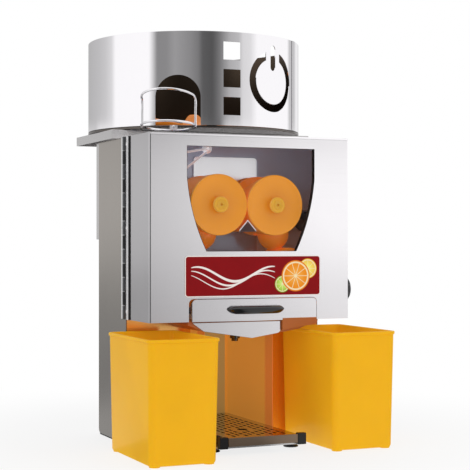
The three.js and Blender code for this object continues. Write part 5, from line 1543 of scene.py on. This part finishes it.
class JUICER_OT_fittings(Operator):
    """Makes the hinge, the latch, the switch and the inlet"""

    bl_idname = "juicer.fittings"
    bl_label = "Fittings"

    def execute(self, context):
        sizes = juicer_sizes()
        self.make_hinge(sizes)
        self.make_latch()
        dressed("power_module", "black_plastic", sizes.edge)
        dressed("switch_rocker", "black_plastic", sizes.edge)
        return {"FINISHED"}

    def make_hinge(self, sizes):
        """A piano hinge: two leaves, alternate knuckles and domed screws."""
        column_low, column_high = corners("hinge_leaf_column")
        cover_low = corners("hinge_leaf_cover")[0]
        radius = KNUCKLE_RADIUS
        axis = Vector((column_low.x + radius, column_low.y + radius, 0))
        out = column_high.x
        pitch = (column_high.z - column_low.z) / sizes.knuckles
        sides = (
            ("hinge_leaf_column", 0, axis.y + radius + SEAT, column_high.y),
            ("hinge_leaf_cover", 1, cover_low.y, axis.y - radius - SEAT),
        )
        for node, first, front, back in sides:
            # The cover's leaf gets a black strip along its front edge: painted shadow in the gap.
            if first:
                strip = bmesh.new()
                strip_end = (out, front + HINGE_SHADOW_STRIP - SEAT, column_high.z)
                block(strip, (out - LEAF, front, column_low.z), strip_end)
                piece("hinge_rubber", mesh_of(strip), "black_rubber", like=node)
                front += HINGE_SHADOW_STRIP
            leaf = bmesh.new()
            block(leaf, (out - LEAF, front, column_low.z), (out, back, column_high.z))
            middle = (front + back) / 2
            for place in HINGE_SCREWS:
                spot = Vector((out - LEAF, middle, column_low.z + place * (column_high.z - column_low.z)))
                screw(leaf, spot, -X, sizes.screw)
            piece(f"{node}_strip", mesh_of(leaf), "hinge_strip", node, edge=SEAT / 2)
            knuckles = bmesh.new()
            for k in range(first, sizes.knuckles, 2):
                low = column_low.z + k * pitch + SEAT
                high = low + pitch - 2 * SEAT
                turned(knuckles, tube(0, radius, low, high, SEAT), axis, Z, ROD_STEPS)
                near, far = sorted((axis.y, front if first == 0 else back))
                block(knuckles, (out - LEAF, near, low), (out, far, high))
            finish = "hinge_knuckle_dark" if first else "hinge_knuckle_pale"
            piece(f"{node}_knuckles", mesh_of(knuckles), finish, like=node)

    def make_latch(self):
        """A star knob with six shallow hollows round its rim."""
        low, high = corners("latch_knob")
        middle = centre_of("latch_knob")
        radius = (high.y - low.y) / 2
        start, end = LATCH_FACE, high.x
        depth = end - start
        bm = bmesh.new()
        turned(bm, scaled(LATCH_HEAD, radius, depth), Vector((start, middle.y, middle.z)), X)
        tools = bmesh.new()
        for k in range(LATCH_HOLLOWS):
            turn = (k + 0.5) / LATCH_HOLLOWS * tau
            away = (Y * cos(turn) + Z * sin(turn)) * radius * 1.14
            place = Vector((start - SEAT, middle.y, middle.z)) + away
            rod(tools, radius * 0.28, 0, depth * 1.2, place, X, 32)
        mesh = carved(mesh_of(bm), mesh_of(tools), angle=40)
        stud = bmesh.new()
        place, root = Vector((start, middle.y, middle.z)), low.x - start
        rod(stud, LATCH_STUD, root, SEAT, place, X, 32)
        rod(stud, LATCH_NUT, root + SHEET, root + SHEET + LATCH_NUT_THICK, place, X, 6)
        joined = bmesh.new()
        joined.from_mesh(mesh)
        joined.from_mesh(mesh_of(stud))
        piece("latch_star", mesh_of(joined, 40), "black_gloss", "latch_knob", edge=SHEET * 0.6, segments=3)


class JUICER_OT_stage(Operator):
    """Makes the floor, the studio light and the camera"""

    bl_idname = "juicer.stage"
    bl_label = "Stage"

    def execute(self, context):
        scene = context.scene
        scene.view_settings.view_transform = "Standard"
        self.make_floor()
        self.make_world(scene)
        self.make_lamps()
        self.make_camera(scene)
        return {"FINISHED"}

    def make_floor(self):
        """White paper that catches shadows, lights what stands on it and is seen in the steel."""
        bm = bmesh.new()
        bmesh.ops.create_grid(bm, x_segments=1, y_segments=1, size=PAPER_SIZE)
        floor = linked("floor", mesh_of(bm))
        made = Finish("floor_paper", tone(240, 240, 240), 0.6)
        path = made.tree.nodes.new("ShaderNodeLightPath")
        rays = ("Is Camera Ray", "Is Diffuse Ray", "Is Glossy Ray")
        seen, spread, shone = (Number(made, path.outputs[name]) for name in rays)
        mirrored = made.blend(shone, WHITE, made.around(made.place, LOW_WALLS) * PAPER_MIRROR)
        lit = made.add("ShaderNodeEmission", values={"Color": mirrored, "Strength": 1.0})
        reach = made.add("ShaderNodeVectorMath", {"operation": "LENGTH"}, {0: made.place}, output="Value")
        away = made.step(reach, PAPER_NEAR, PAPER_FAR)
        share = seen * (away * (1 - PAPER_SEEN) + PAPER_SEEN) + spread * PAPER_BOUNCE + shone
        paper = Number(made, made.shader.outputs[0])
        mixed = made.add("ShaderNodeMixShader", values={0: share, 1: paper, 2: lit})
        made.feed(made.output.inputs["Surface"], mixed)
        floor.data.materials.append(made.material)

    def make_world(self, scene):
        """White for the camera, a room with dark and light walls for what shines, and soft light."""
        world = bpy.data.worlds.new("studio")
        world.use_nodes = True
        scene.world = world
        board = Board(world.node_tree)
        direction = board.add("ShaderNodeTexCoord", output="Generated")
        up = board.split(direction)[2]
        above, below = board.around(direction, HIGH_WALLS), board.around(direction, LOW_WALLS)
        walls = board.blend(board.step(up, 0.076, 0.09), below, above)
        ceiling = board.blend(board.step(up, 0.25, 0.75), walls, WHITE)
        path = board.tree.nodes.new("ShaderNodeLightPath")
        seen = Number(board, path.outputs["Is Camera Ray"])
        shone = Number(board, path.outputs["Is Glossy Ray"])
        soft = board.blend(shone, SOFT_LIGHT, ceiling)
        light = board.blend(seen, soft, WHITE)
        background = board.add("ShaderNodeBackground", values={"Color": light, "Strength": 1.0})
        output = board.tree.nodes.new("ShaderNodeOutputWorld")
        board.tree.links.new(background.socket, output.inputs["Surface"])

    def make_lamps(self):
        for name, place, size, power in LAMPS:
            data = bpy.data.lights.new(name, "AREA")
            data.size = size
            data.energy = power
            lamp = linked(name, data)
            lamp.location = place
            lamp.rotation_euler = (Vector(LAMP_TARGET) - lamp.location).to_track_quat("-Z", "Y").to_euler()
            lamp.visible_glossy = False

    def make_camera(self, scene):
        data = bpy.data.cameras.new("camera")
        data.sensor_width = CAMERA_SENSOR
        data.lens = CAMERA_LENS
        data.shift_y = CAMERA_SHIFT
        data.clip_start, data.clip_end = CAMERA_NEAR, CAMERA_FAR
        camera = linked("camera", data)
        camera.location = CAMERA_PLACE
        camera.rotation_euler = Vector(CAMERA_AIM).to_track_quat("-Z", "Y").to_euler()
        scene.camera = camera

STEPS = (
    JUICER_OT_stage,
    JUICER_OT_finishes,
    JUICER_OT_casing,
    JUICER_OT_cover,
    JUICER_OT_chamber,
    JUICER_OT_drums,
    JUICER_OT_drive,
    JUICER_OT_drawer,
    JUICER_OT_hopper,
    JUICER_OT_drip_tray,
    JUICER_OT_bins,
    JUICER_OT_fittings,
)


class JUICER_PT_panel(Panel):
    """Lists the steps that make the juicer"""

    bl_idname = "JUICER_PT_panel"
    bl_label = "Orange juicer"
    bl_space_type = "VIEW_3D"
    bl_region_type = "UI"
    bl_category = "Juicer"

    def draw(self, context):
        for group in (context.scene.juicer_sizes, context.scene.juicer_colours):
            for name in group.__annotations__:
                self.layout.prop(group, name)
        for step in STEPS:
            self.layout.operator(step.bl_idname)


CLASSES = (JuicerSizes, JuicerColours, *STEPS, JUICER_PT_panel)


def register():
    for each in CLASSES:
        bpy.utils.register_class(each)
    bpy.types.Scene.juicer_sizes = PointerProperty(type=JuicerSizes)
    bpy.types.Scene.juicer_colours = PointerProperty(type=JuicerColours)


def unregister():
    del bpy.types.Scene.juicer_colours
    del bpy.types.Scene.juicer_sizes
    for each in reversed(CLASSES):
        bpy.utils.unregister_class(each)


def main():
    register()
    for step in STEPS:
        family, name = step.bl_idname.split(".")
        getattr(getattr(bpy.ops, family), name)()


if __name__ == "__main__":
    main()
